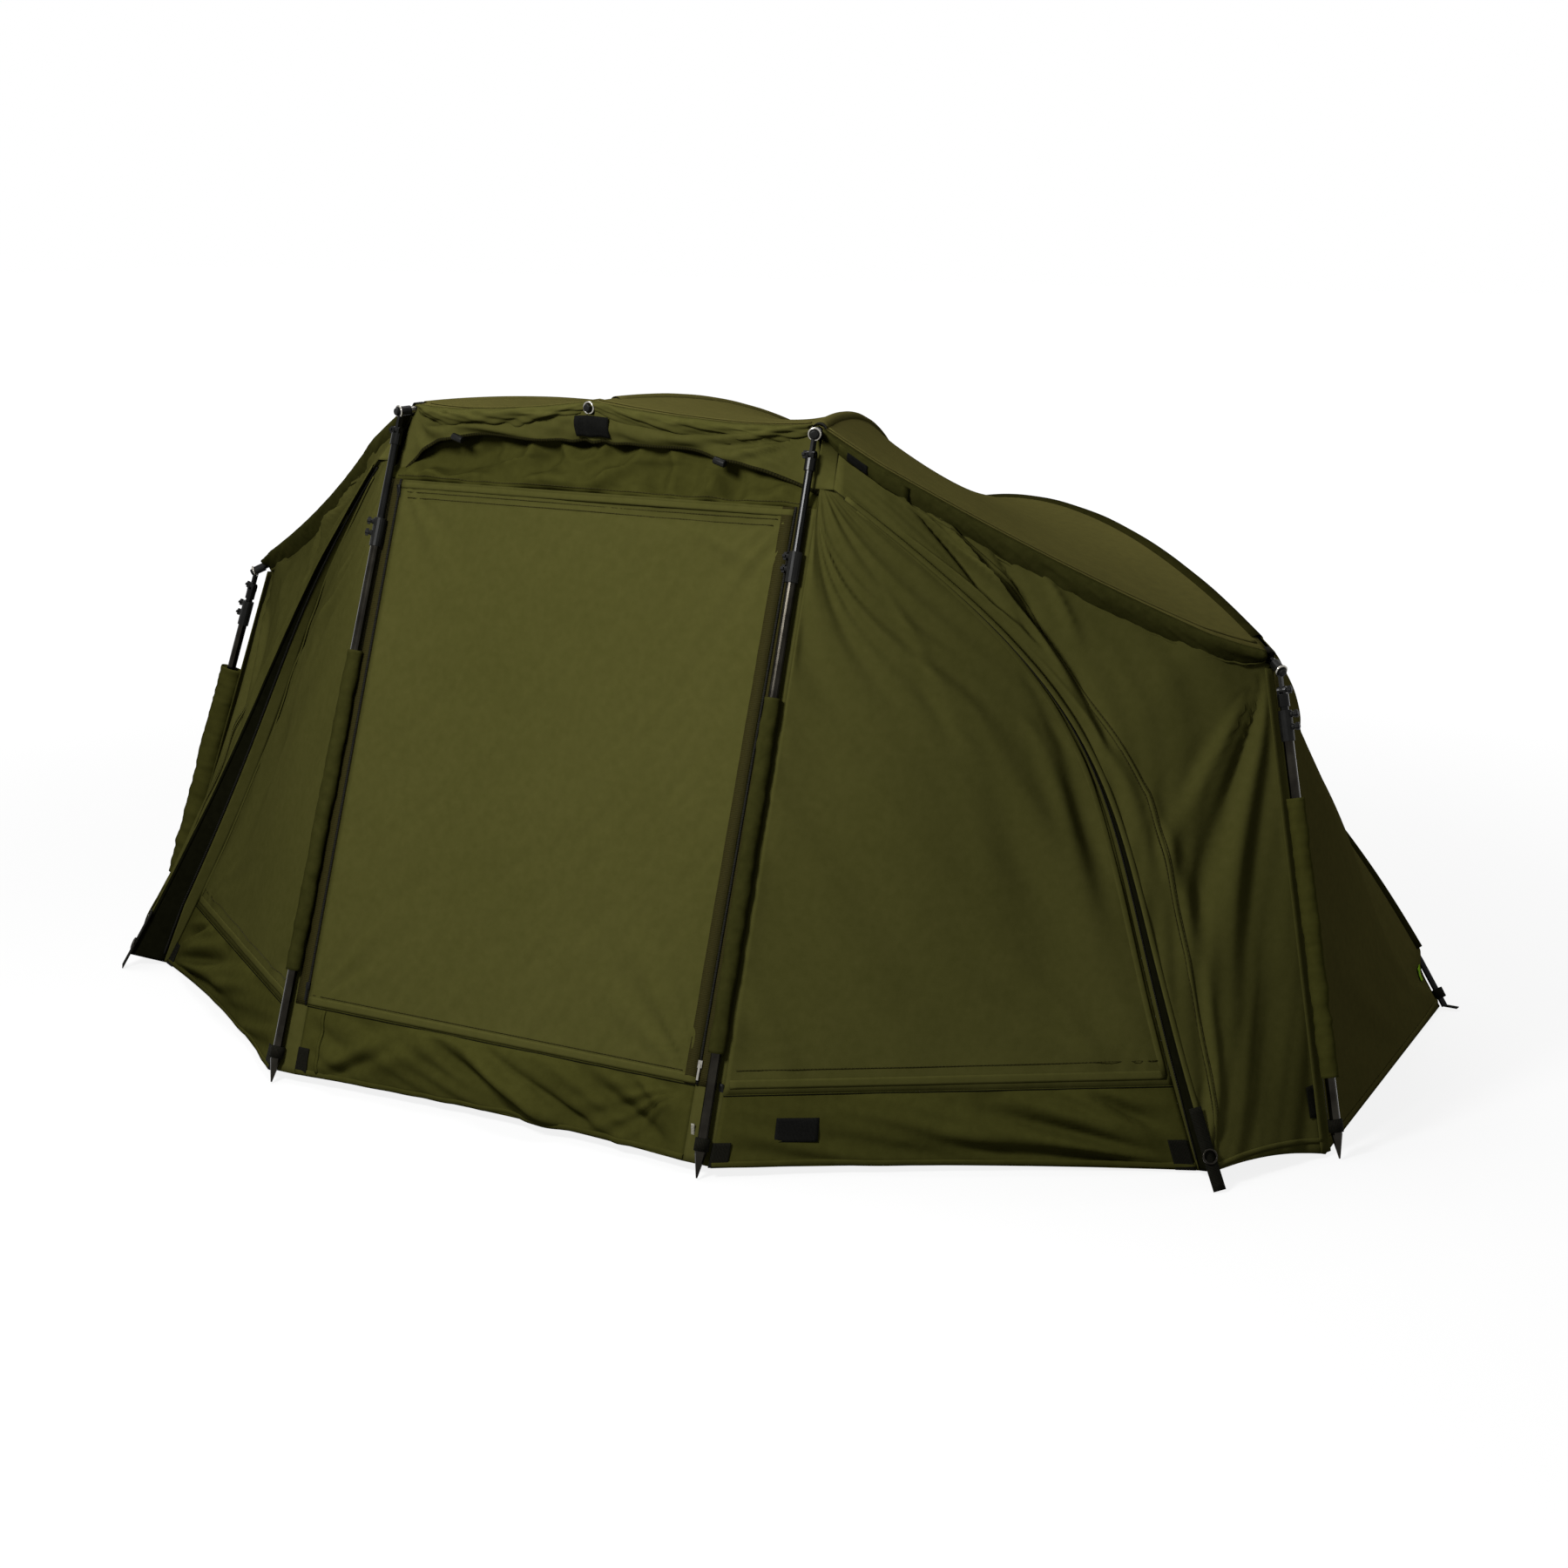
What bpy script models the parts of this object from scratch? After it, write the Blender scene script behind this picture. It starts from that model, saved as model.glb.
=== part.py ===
"""Bivvy tent: an umbrella frame of curved ribs, four telescopic storm poles and a sewn cover."""

import math

import bmesh
import bpy
from mathutils import Matrix, Vector

# Driving sizes of the frame, in metres. X is right seen from the front, Y runs into the tent
INNER_FOOT_X = 0.513
INNER_TIP_X = 0.493
INNER_TIP_Y = 0.457
INNER_TIP_Z = 1.320
OUTER_FOOT_X = 1.489
OUTER_FOOT_Y = 0.702
OUTER_TIP_X = 1.274
OUTER_TIP_Y = 0.857
OUTER_TIP_Z = 0.884
FRONT_TIP_Y = 0.439
FRONT_TIP_Z = 1.350
REAR_FOOT_X = 1.376
REAR_FOOT_Y = 1.712
BACK_FOOT_X = 0.660
BACK_FOOT_Y = 2.500
HUB_Y = 1.780
HUB_Z = 0.980
HUB_TILT_SHARE = 0.45

# How far each rib bows out of its chord, and how steeply the cover falls away beside it
FRONT_BOW = 0.109
INNER_BOW = 0.112
OUTER_BOW = 0.156
REAR_BOW = 0.181
BACK_BOW = 0.200
FRONT_RIDGE_DEGREES = 46.0
INNER_RIDGE_DEGREES = 50.0
OUTER_RIDGE_DEGREES = 53.0
REAR_RIDGE_DEGREES = 52.0
BACK_RIDGE_DEGREES = 49.0

# Tubes, hub and clearances
GAP = 0.0003
RIB_RADIUS = 0.007
HUB_RADIUS = 0.045
HUB_THICKNESS = 0.052
HUB_RIM_ROUND = 0.006
CAP_THICKNESS = 0.010
CAP_CROWN = 0.007
SOCKET_WALL = 0.0027
SOCKET_DEPTH = 0.020
SOCKET_NOSE = 0.009

# Storm poles
LOWER_RADIUS = 0.0100
UPPER_RADIUS = 0.0080
UPPER_WALL = 0.0015
INNER_HEAD_FREE = 0.15525
OUTER_HEAD_FREE = 0.007167
INNER_OVERLAP = 0.300
OUTER_OVERLAP = 0.180
SPIKE_LENGTH = 0.045
SPIKE_POINT = 0.0015
PLUG_LENGTH = 0.018
PLUG_PROUD = 0.0008
COLLAR_WALL = 0.0025
COLLAR_GRIP = 0.018
COLLAR_THROAT = 0.040
BOSS_RADIUS = 0.0058
BOSS_REACH = 0.0155
SCREW_SPACING = 0.024
LEFT_LOCK_TURN_DEGREES = 37.0
SCREW_RADIUS = 0.0025
SCREW_CLEARANCE = 0.0003
KNOB_RADIUS = 0.0075
KNOB_THICKNESS = 0.0075
KNOB_NECK_RADIUS = 0.0045
KNOB_NECK_LENGTH = 0.0026
HEAD_DROP = 0.040
HEAD_RADIUS = 0.0110
HEAD_LENGTH = 0.024
CHEEK_REACH = 0.0086
CHEEK_DEPTH = 0.0150
TONGUE_THICKNESS = 0.0060
TONGUE_DEPTH = 0.0120
TONGUE_END_RADIUS = 0.0070
FORK_CLEARANCE = 0.0003

# Zip sliders
SLIDER_WIDTH = 0.0090
SLIDER_LENGTH = 0.0140
SLIDER_THICKNESS = 0.0030
SLIDER_RISE = 0.0300
TAB_LENGTH = 0.0300
TAB_PROUD = 0.0012

# Cloth
CLOTH = 0.0020
CLOTH_GAP = 0.0005
PANEL_GAP = 0.0003
VALLEY_GAP = 0.0007
HEM_LIFT = 0.0015
POLE_TO_CLOTH = 0.0160
STRIP_REACH = 0.0200
DOOR_HALF_WIDTH = 0.4680
DOOR_TOP_DROP = 0.1360
DOOR_BOTTOM_Z = 0.1520
SIDE_SEAM_Z = 0.1440
FLAP_TOP_DROP = 0.1000
FLAP_START_REACH = 0.0300
PEG_X = 1.355
PEG_Y = 0.437
RETURN_TOP = 0.012
RETURN_BOTTOM = 0.098
SEAM_INSET = 0.030
SEAM_BESIDE_RIB = 0.0100
DOOR_BULGE = 0.035
WING_SAG = 0.020
SKIRT_TUCK = 0.025
SIDE_SKIRT_REACH = 0.004
FRONT_HEM_LIFT = 0.018
WING_HEM_RISE = 0.030
DOOR_FOLD = 0.004
SIDE_FOLD = 0.007
SKIRT_FOLD = 0.008
WING_FOLD = 0.008

# Shares of other sizes, all without a unit
EDGE_SHARE = 0.975
EDGE_SAG_SHARE = 0.030
FRONT_SAG_SHARE = 0.120
CORNER_SAG_SHARE = 0.105
ROOF_SAG_SHARE = 0.045
CREASE_SAG_SHARE = 0.004
DOOR_SLANT_SHARE = 0.25
SKIRT_SLANT_SHARE = -0.20
WING_SLANT_SHARE = 0.30
FLAP_FIRST_SHARES = (0.70, 0.82, 0.615)
FLAP_SECOND_SHARES = (0.56, 0.72, 0.56)

# Counts of rows and columns in the cloth. Panels that meet have rows in step along their seam
ROOF_ROWS = 10
GROUND_ROWS = 16
ROOF_COLUMNS = 6
DOOR_ROWS = 14
SKIRT_ROWS = 4
DOOR_COLUMNS = 10
FOLD_COLUMN = 2
WING_COLUMNS = 10
STRIP_ROWS = 6
HEADER_ROWS = SKIRT_ROWS // 2
FRONT_DOOR_ROWS = 10

# Counts of the folds that run across each panel
WING_FOLDS = 2.0
SIDE_FOLDS = 2.0
FRONT_DOOR_FOLDS = 1.5
FRONT_SKIRT_FOLDS = 3.5

# Counts of sides, the angle that shows as an edge, and the reach of merges and cuts
TUBE_SIDES = 16
SMALL_SIDES = 10
SHARP_DEGREES = 35.0
MERGE = 0.0001
OVERRUN = 0.002

HUB = Vector((0.0, HUB_Y, HUB_Z))
UP = Vector((0.0, 0.0, 1.0))
RIGHT = Vector((1.0, 0.0, 0.0))
FRONT = Vector((0.0, -1.0, 0.0))
DOOR_TOP_Z = INNER_TIP_Z - DOOR_TOP_DROP
FLAP_TOP_Z = INNER_TIP_Z - FLAP_TOP_DROP
FRONT_LEAN = INNER_TIP_Y / INNER_TIP_Z
MIDDLE_Y = (BACK_FOOT_Y + RIB_RADIUS) / 2.0


def clear_scene():
    for item in list(bpy.data.objects):
        bpy.data.objects.remove(item, do_unlink=True)


def new_collection(name):
    group = bpy.data.collections.new(name)
    bpy.context.scene.collection.children.link(group)
    return group


clear_scene()
TENT = new_collection("bivvy_tent")
CUTTERS = new_collection("cutters")
ORIGIN = bpy.data.objects.new("tent_origin", None)
TENT.objects.link(ORIGIN)
ORIGIN.location = (0.0, -MIDDLE_Y, 0.0)


def new_material(name, color, roughness, metallic):
    surface = bpy.data.materials.new(name)
    surface.use_nodes = True
    shader = surface.node_tree.nodes["Principled BSDF"]
    shader.inputs["Base Color"].default_value = (*color, 1.0)
    shader.inputs["Roughness"].default_value = roughness
    shader.inputs["Metallic"].default_value = metallic
    surface.diffuse_color = (*color, 1.0)
    return surface


def cloth_material(name):
    return new_material(name, (0.040, 0.043, 0.012), 0.62, 0.0)


def black_metal(name):
    return new_material(name, (0.012, 0.012, 0.011), 0.32, 0.9)


def black_plastic(name):
    return new_material(name, (0.010, 0.010, 0.010), 0.45, 0.0)


def add_object(name, mesh, surface, matrix=None):
    item = bpy.data.objects.new(name, mesh)
    item.data.materials.clear()
    item.data.materials.append(surface)
    place_in_tent(item, matrix)
    return item


def place_in_tent(item, matrix=None):
    """Hangs a piece on the empty that carries the whole tent to the frame's origin."""
    TENT.objects.link(item)
    item.parent = ORIGIN
    if matrix is not None:
        item.matrix_local = matrix


def smooth_step(share):
    share = min(max(share, 0.0), 1.0)
    return share * share * (3.0 - 2.0 * share)


def hump(share):
    return 4.0 * share * (1.0 - share)


def horizontal(vector):
    return Vector((vector.x, vector.y, 0.0))


def mirrored(point):
    return Vector((-point.x, point.y, point.z))


# Ribs

class Rib:
    """A tube bowed out of the straight line between the hub and its tip, in a vertical plane."""

    def __init__(self, name, tip, bow, ridge_degrees=0.0):
        self.name = name
        self.tip = tip
        self.clear = RIB_RADIUS / math.cos(math.radians(ridge_degrees)) + GAP
        chord = tip - HUB
        self.along = horizontal(chord).normalized()
        self.side = UP.cross(self.along)
        self.bow = self.side.cross(chord).normalized() * -bow
        if self.bow.z < 0.0:
            self.bow.negate()

    def point(self, share):
        return HUB.lerp(self.tip, share) + self.bow * hump(share)

    def direction(self, share):
        return (self.tip - HUB + self.bow * (4.0 - 8.0 * share)).normalized()

    def normal(self, share):
        across = self.direction(share).cross(self.side)
        return across if across.z > 0.0 else -across

    def share_at(self, distance):
        low, high = 0.0, 1.0
        for _ in range(40):
            middle = (low + high) / 2.0
            if (self.point(middle) - HUB).length < distance:
                low = middle
            else:
                high = middle
        return low

    def above(self, share, beside=0.0):
        return self.point(share) + self.normal(share) * self.clear + self.side * beside


def ground_tip(x, y, bow):
    """A foot on the ground, lifted so that the tube's cut end just clears it."""
    flat = Rib("foot", Vector((x, y, 0.0)), bow)
    return Vector((x, y, RIB_RADIUS * horizontal(flat.direction(1.0)).length + GAP))


def make_ribs():
    inner = Vector((INNER_TIP_X, INNER_TIP_Y, INNER_TIP_Z))
    outer = Vector((OUTER_TIP_X, OUTER_TIP_Y, OUTER_TIP_Z))
    rear = ground_tip(REAR_FOOT_X, REAR_FOOT_Y, REAR_BOW)
    back = ground_tip(BACK_FOOT_X, BACK_FOOT_Y, BACK_BOW)
    front = Vector((0.0, FRONT_TIP_Y, FRONT_TIP_Z))
    ribs = {"front_centre": Rib("rib_front_centre", front, FRONT_BOW, FRONT_RIDGE_DEGREES)}
    for key, tip, bow, ridge in (
        ("inner", inner, INNER_BOW, INNER_RIDGE_DEGREES),
        ("outer", outer, OUTER_BOW, OUTER_RIDGE_DEGREES),
        ("rear", rear, REAR_BOW, REAR_RIDGE_DEGREES),
        ("back", back, BACK_BOW, BACK_RIDGE_DEGREES),
    ):
        ribs[key + "_right"] = Rib("rib_" + key + "_right", tip, bow, ridge)
        ribs[key + "_left"] = Rib("rib_" + key + "_left", mirrored(tip), bow, ridge)
    return ribs


RIBS = make_ribs()
GROUND_RIBS = ("rear_right", "rear_left", "back_right", "back_left")


def hub_axis():
    return Vector((0.0, HUB_TILT_SHARE, 1.0)).normalized()


def rib_start(rib):
    """The distance from the hub's middle at which the rib's cut end clears the hub's rim."""
    rise = abs(rib.direction(0.0).dot(hub_axis()))
    level = math.sqrt(1.0 - rise * rise)
    return (HUB_RADIUS + 2.0 * GAP + RIB_RADIUS * rise) / level


def roof_start(rib):
    return rib.share_at(rib_start(rib) + RIB_RADIUS / 2.0)


def end_direction(rib):
    """The direction of the rib's last straight stretch, which its end piece follows."""
    return (rib.tip - rib.point(EDGE_SHARE)).normalized()


def build_rib(key):
    """A round tube from the hub's rim to the tip, with its knots in step with the cover's rows."""
    rib = RIBS[key]
    grounded = key in GROUND_RIBS
    rows = GROUND_ROWS if grounded else ROOF_ROWS
    last = 1.0 if grounded else EDGE_SHARE
    start = roof_start(rib)
    places = [rib.point(rib.share_at(rib_start(rib)))]
    places += [rib.point(start + (last - start) * row / rows) for row in range(1, rows + 1)]
    if not grounded:
        places.append(rib.tip - end_direction(rib) * GAP)
    curve = bpy.data.curves.new(rib.name, "CURVE")
    curve.dimensions = "3D"
    spline = curve.splines.new("POLY")
    spline.points.add(len(places) - 1)
    for knot, place in zip(spline.points, places):
        knot.co = (*place, 1.0)
    curve.bevel_depth = RIB_RADIUS
    curve.bevel_resolution = 2
    curve.use_fill_caps = True
    curve.materials.append(black_metal(rib.name + "_anodised"))
    place_in_tent(bpy.data.objects.new(rib.name, curve))


# Turned and joined solids

def turned_mesh(name, profile, sides):
    """A closed body of revolution about local Z. The profile runs top to bottom on its outer side."""
    mesh = bpy.data.meshes.new(name)
    corners = [(radius, 0.0, height) for radius, height in profile]
    edges = [(index, index + 1) for index in range(len(corners) - 1)]
    mesh.from_pydata(corners, edges, [])
    holder = bpy.data.objects.new(name, mesh)
    CUTTERS.objects.link(holder)
    screw = holder.modifiers.new("turn", "SCREW")
    screw.steps = sides
    screw.render_steps = sides
    screw.use_merge_vertices = True
    screw.merge_threshold = MERGE
    screw.use_normal_calculate = False
    return evaluated_mesh(holder, name)


def evaluated_mesh(holder, name):
    bpy.context.view_layer.update()
    graph = bpy.context.evaluated_depsgraph_get()
    mesh = bpy.data.meshes.new_from_object(holder.evaluated_get(graph), depsgraph=graph)
    mesh.name = name
    bpy.data.objects.remove(holder, do_unlink=True)
    return mesh


def cylinder_mesh(name, radius, low, high, sides, turn=None):
    """A cylinder on local Z between two heights, turned as a whole by a matrix."""
    shape = bmesh.new()
    bmesh.ops.create_cone(
        shape, cap_ends=True, segments=sides, radius1=radius, radius2=radius, depth=high - low
    )
    bmesh.ops.translate(shape, verts=shape.verts, vec=(0.0, 0.0, (low + high) / 2.0))
    if turn is not None:
        bmesh.ops.transform(shape, matrix=turn, verts=shape.verts)
    mesh = bpy.data.meshes.new(name)
    shape.to_mesh(mesh)
    shape.free()
    return mesh


def block_mesh(name, low, high):
    """A box between two corners."""
    shape = bmesh.new()
    bmesh.ops.create_cube(shape, size=1.0)
    size = Vector(high) - Vector(low)
    middle = (Vector(high) + Vector(low)) / 2.0
    bmesh.ops.scale(shape, vec=size, verts=shape.verts)
    bmesh.ops.translate(shape, vec=middle, verts=shape.verts)
    mesh = bpy.data.meshes.new(name)
    shape.to_mesh(mesh)
    shape.free()
    return mesh


def joined_mesh(name, base, added, cut):
    """The base with solids united to it, and then others cut from it."""
    holder = bpy.data.objects.new(name, base)
    CUTTERS.objects.link(holder)
    helpers = []
    for operation, meshes in (("UNION", added), ("DIFFERENCE", cut)):
        for mesh in meshes:
            helper = bpy.data.objects.new(name + "_tool", mesh)
            helper.hide_render = True
            helper.display_type = "WIRE"
            CUTTERS.objects.link(helper)
            helpers.append(helper)
            modifier = holder.modifiers.new("shape", "BOOLEAN")
            modifier.operation = operation
            modifier.object = helper
    mesh = evaluated_mesh(holder, name)
    for helper in helpers:
        bpy.data.objects.remove(helper, do_unlink=True)
    return mesh


def shade(mesh):
    mesh.shade_smooth()
    mesh.set_sharp_from_angle(angle=math.radians(SHARP_DEGREES))


# The local Z axis turned onto X
ALONG_X = Matrix.Rotation(math.radians(90.0), 4, "Y")


def frame_matrix(origin, along, across):
    """A frame at the origin with local Z along one direction and local X near another."""
    z_axis = along.normalized()
    x_axis = (across - z_axis * across.dot(z_axis)).normalized()
    y_axis = z_axis.cross(x_axis)
    turn = Matrix((x_axis, y_axis, z_axis)).transposed().to_4x4()
    return Matrix.Translation(origin) @ turn


# Hub

def build_hub():
    matrix = frame_matrix(HUB, hub_axis(), RIGHT)
    half = HUB_THICKNESS / 2.0
    body = turned_mesh("hub_body", (
        (0.0, half),
        (HUB_RADIUS - HUB_RIM_ROUND, half),
        (HUB_RADIUS, half - HUB_RIM_ROUND),
        (HUB_RADIUS, HUB_RIM_ROUND - half),
        (HUB_RADIUS - HUB_RIM_ROUND, -half),
        (0.0, -half),
    ), 2 * SMALL_SIDES)
    shade(body)
    add_object("hub_body", body, black_plastic("hub_moulded"), matrix)
    base = half + GAP
    cap = turned_mesh("hub_cap", (
        (0.0, base + CAP_THICKNESS),
        (HUB_RADIUS / 2.0, base + CAP_CROWN),
        (HUB_RADIUS - HUB_RIM_ROUND, base + CAP_THICKNESS - CAP_CROWN),
        (HUB_RADIUS - HUB_RIM_ROUND, base),
        (0.0, base),
    ), 2 * SMALL_SIDES)
    shade(cap)
    add_object("hub_cap", cap, black_plastic("cap_moulded"), matrix)


# Storm poles

class Pole:
    """A telescopic pole from its foot on the ground to the rib tip that it carries."""

    def __init__(self, key, foot, tip, head_free, overlap, knob_side, lock_turn=0.0):
        self.key = key
        self.tip = tip
        lean = horizontal(tip - foot).length / (tip - foot).length
        self.foot = foot + UP * (SPIKE_POINT * lean)
        self.along = (tip - self.foot).normalized()
        self.length = (tip - self.foot).length
        self.overlap = overlap
        self.knob = RIGHT * knob_side
        self.matrix = frame_matrix(self.foot, self.along, self.knob)
        self.lock_matrix = self.matrix @ Matrix.Rotation(math.radians(lock_turn), 4, "Z")
        self.tilt_height = self.length - HEAD_DROP
        self.head_base = self.tilt_height - TONGUE_END_RADIUS - HEAD_LENGTH
        self.lock = self.head_base - head_free - GAP - (COLLAR_THROAT + COLLAR_GRIP) / 2.0

    def at(self, height):
        return self.foot + self.along * height


def make_poles():
    poles = []
    inner_foot = Vector((INNER_FOOT_X, 0.0, 0.0))
    inner_tip = RIBS["inner_right"].tip
    outer_foot = Vector((OUTER_FOOT_X, OUTER_FOOT_Y, 0.0))
    outer_tip = RIBS["outer_right"].tip
    inner = (INNER_HEAD_FREE, INNER_OVERLAP)
    outer = (OUTER_HEAD_FREE, OUTER_OVERLAP)
    poles.append(Pole("inner_right", inner_foot, inner_tip, *inner, -1.0))
    turn = LEFT_LOCK_TURN_DEGREES
    poles.append(Pole("inner_left", mirrored(inner_foot), mirrored(inner_tip), *inner, -1.0, turn))
    poles.append(Pole("outer_right", outer_foot, outer_tip, *outer, 1.0))
    poles.append(Pole("outer_left", mirrored(outer_foot), mirrored(outer_tip), *outer, -1.0))
    return poles


POLES = make_poles()


def build_lower_tube(pole):
    """A spiked tube, bored from the top for the thinner tube that slides in it."""
    top = pole.lock + COLLAR_GRIP / 2.0 - COLLAR_THROAT / 2.0
    bore = UPPER_RADIUS + GAP
    floor = SPIKE_LENGTH + 2.0 * PLUG_LENGTH
    proud = LOWER_RADIUS + PLUG_PROUD
    mesh = turned_mesh("lower_tube", (
        (0.0, floor),
        (bore, floor),
        (bore, top),
        (LOWER_RADIUS, top),
        (LOWER_RADIUS, SPIKE_LENGTH + PLUG_LENGTH),
        (proud, SPIKE_LENGTH + PLUG_LENGTH),
        (proud, SPIKE_LENGTH),
        (SPIKE_POINT, 0.0),
        (0.0, 0.0),
    ), TUBE_SIDES)
    shade(mesh)
    name = "lower_tube_" + pole.key
    add_object(name, mesh, black_metal(name + "_anodised"), pole.matrix)


def build_upper_tube(pole):
    """The thin tube with its moulded head, forked around the knuckle's tongue."""
    tilt = pole.tilt_height
    head_base = pole.head_base
    crotch = tilt - TONGUE_END_RADIUS - 2.0 * FORK_CLEARANCE
    tube = cylinder_mesh("tube", UPPER_RADIUS, pole.lock - pole.overlap, head_base + OVERRUN, TUBE_SIDES)
    head = cylinder_mesh("head", HEAD_RADIUS, head_base, crotch, TUBE_SIDES)
    half = CHEEK_DEPTH / 2.0
    cheeks = block_mesh(
        "cheeks",
        (-CHEEK_REACH, -half, crotch - 2.0 * OVERRUN),
        (CHEEK_REACH, half, tilt),
    )
    rounding = cylinder_mesh("rounding", half, -CHEEK_REACH, CHEEK_REACH, TUBE_SIDES, ALONG_X)
    rounding.transform(Matrix.Translation((0.0, 0.0, tilt)))
    slot_half = TONGUE_THICKNESS / 2.0 + FORK_CLEARANCE
    slot = block_mesh(
        "slot",
        (-slot_half, -HEAD_RADIUS, crotch - FORK_CLEARANCE),
        (slot_half, HEAD_RADIUS, tilt + HEAD_RADIUS),
    )
    reach = CHEEK_REACH + OVERRUN
    hole = cylinder_mesh("hole", SCREW_RADIUS + SCREW_CLEARANCE, -reach, reach, SMALL_SIDES, ALONG_X)
    hole.transform(Matrix.Translation((0.0, 0.0, tilt)))
    tube_end = pole.lock - pole.overlap
    bore = cylinder_mesh("bore", UPPER_RADIUS - UPPER_WALL, tube_end - OVERRUN, head_base, TUBE_SIDES)
    mesh = joined_mesh("upper_tube", tube, (head, cheeks, rounding), (slot, hole, bore))
    shade(mesh)
    mesh.transform(Matrix.Translation((0.0, 0.0, -tilt)))
    name = "upper_tube_" + pole.key
    matrix = pole.matrix @ Matrix.Translation((0.0, 0.0, tilt))
    add_object(name, mesh, black_metal(name + "_anodised"), matrix)


def screw_heights(pole):
    """Where the two clamp screws cross the thin tube, above the lower tube's end."""
    middle = pole.lock + COLLAR_GRIP / 2.0
    return (middle - SCREW_SPACING / 2.0, middle + SCREW_SPACING / 2.0)


def build_lock_collar(pole):
    """A moulded sleeve pressed on the lower tube, with two bosses for its clamp screws."""
    grip_base = pole.lock - COLLAR_THROAT / 2.0 - COLLAR_GRIP / 2.0
    step = grip_base + COLLAR_GRIP + GAP
    top = step + COLLAR_THROAT
    outer = LOWER_RADIUS + GAP + COLLAR_WALL
    wide = LOWER_RADIUS + GAP
    narrow = UPPER_RADIUS + GAP
    ring = turned_mesh("lock_collar", (
        (narrow, top),
        (outer, top),
        (outer, grip_base),
        (wide, grip_base),
        (wide, step),
        (narrow, step),
        (narrow, top),
    ), TUBE_SIDES)
    bosses = []
    holes = []
    inner_end = (UPPER_RADIUS + outer) / 2.0
    for height in screw_heights(pole):
        lift = Matrix.Translation((0.0, 0.0, height))
        boss = cylinder_mesh("boss", BOSS_RADIUS, inner_end, BOSS_REACH, SMALL_SIDES, ALONG_X)
        boss.transform(lift)
        bosses.append(boss)
        hole_radius = SCREW_RADIUS + SCREW_CLEARANCE
        hole = cylinder_mesh("hole", hole_radius, 0.0, BOSS_REACH + OVERRUN, SMALL_SIDES, ALONG_X)
        hole.transform(lift)
        holes.append(hole)
    mesh = joined_mesh("lock_collar", ring, bosses, holes)
    shade(mesh)
    name = "lock_collar_" + pole.key
    add_object(name, mesh, black_plastic(name + "_moulded"), pole.lock_matrix)


def screw_mesh(name, tip, seat):
    """A thumb screw on local Z: a shank from its tip to its seat, then a neck and a wing head."""
    neck_top = seat + GAP + KNOB_NECK_LENGTH
    top = neck_top + KNOB_THICKNESS
    shank = turned_mesh(name, (
        (0.0, top),
        (KNOB_NECK_RADIUS, top),
        (KNOB_NECK_RADIUS, seat + GAP),
        (SCREW_RADIUS, seat + GAP),
        (SCREW_RADIUS, tip),
        (0.0, tip),
    ), SMALL_SIDES)
    wings = []
    for turn in range(2):
        wing = block_mesh(
            "wing",
            (-KNOB_RADIUS, -KNOB_NECK_RADIUS / 2.0, neck_top),
            (KNOB_RADIUS, KNOB_NECK_RADIUS / 2.0, top - KNOB_NECK_LENGTH / 2.0),
        )
        wing.transform(Matrix.Rotation(math.radians(90.0 * turn), 4, "Z"))
        wings.append(wing)
    mesh = joined_mesh(name, shank, wings, ())
    shade(mesh)
    return mesh


def build_screws(pole, tilt_mesh, lock_mesh):
    low, high = screw_heights(pole)
    for prefix, height, mesh, base in (
        ("tilt_screw_", pole.tilt_height, tilt_mesh, pole.matrix),
        ("lock_screw_lower_", low, lock_mesh, pole.lock_matrix),
        ("lock_screw_upper_", high, lock_mesh, pole.lock_matrix),
    ):
        matrix = base @ Matrix.Translation((0.0, 0.0, height)) @ ALONG_X
        name = prefix + pole.key
        add_object(name, mesh.copy(), black_plastic(name + "_moulded"), matrix)


def build_knuckle(pole, rib):
    """The elbow on the rib's end: a socket in line with the rib and a tongue down into the fork."""
    outer = RIB_RADIUS + GAP + SOCKET_WALL
    rib_frame = frame_matrix(rib.tip, end_direction(rib), pole.knob)
    to_pole = pole.matrix.inverted() @ rib_frame
    socket = cylinder_mesh("socket", outer, -SOCKET_DEPTH, SOCKET_NOSE, TUBE_SIDES, to_pole)
    bore = cylinder_mesh("bore", RIB_RADIUS + GAP, -SOCKET_DEPTH - OVERRUN, 0.0, TUBE_SIDES, to_pole)
    tilt = pole.tilt_height
    half = TONGUE_THICKNESS / 2.0
    tongue = block_mesh(
        "tongue",
        (-half, -TONGUE_DEPTH / 2.0, tilt),
        (half, TONGUE_DEPTH / 2.0, pole.length),
    )
    end = cylinder_mesh("end", TONGUE_END_RADIUS, -half, half, TUBE_SIDES, ALONG_X)
    end.transform(Matrix.Translation((0.0, 0.0, tilt)))
    reach = TONGUE_THICKNESS
    hole = cylinder_mesh("hole", SCREW_RADIUS + SCREW_CLEARANCE, -reach, reach, SMALL_SIDES, ALONG_X)
    hole.transform(Matrix.Translation((0.0, 0.0, tilt)))
    mesh = joined_mesh("head_knuckle", socket, (tongue, end), (bore, hole))
    shade(mesh)
    name = "head_knuckle_" + pole.key
    add_object(name, mesh, black_plastic(name + "_moulded"), pole.matrix)


def build_poles():
    tilt_mesh = screw_mesh("tilt_screw", -CHEEK_REACH, CHEEK_REACH)
    lock_mesh = screw_mesh("lock_screw", UPPER_RADIUS + GAP, BOSS_REACH)
    for pole in POLES:
        build_lower_tube(pole)
        build_upper_tube(pole)
        build_lock_collar(pole)
        build_knuckle(pole, RIBS[pole.key])
        build_screws(pole, tilt_mesh, lock_mesh)


# Cloth panels

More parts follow.
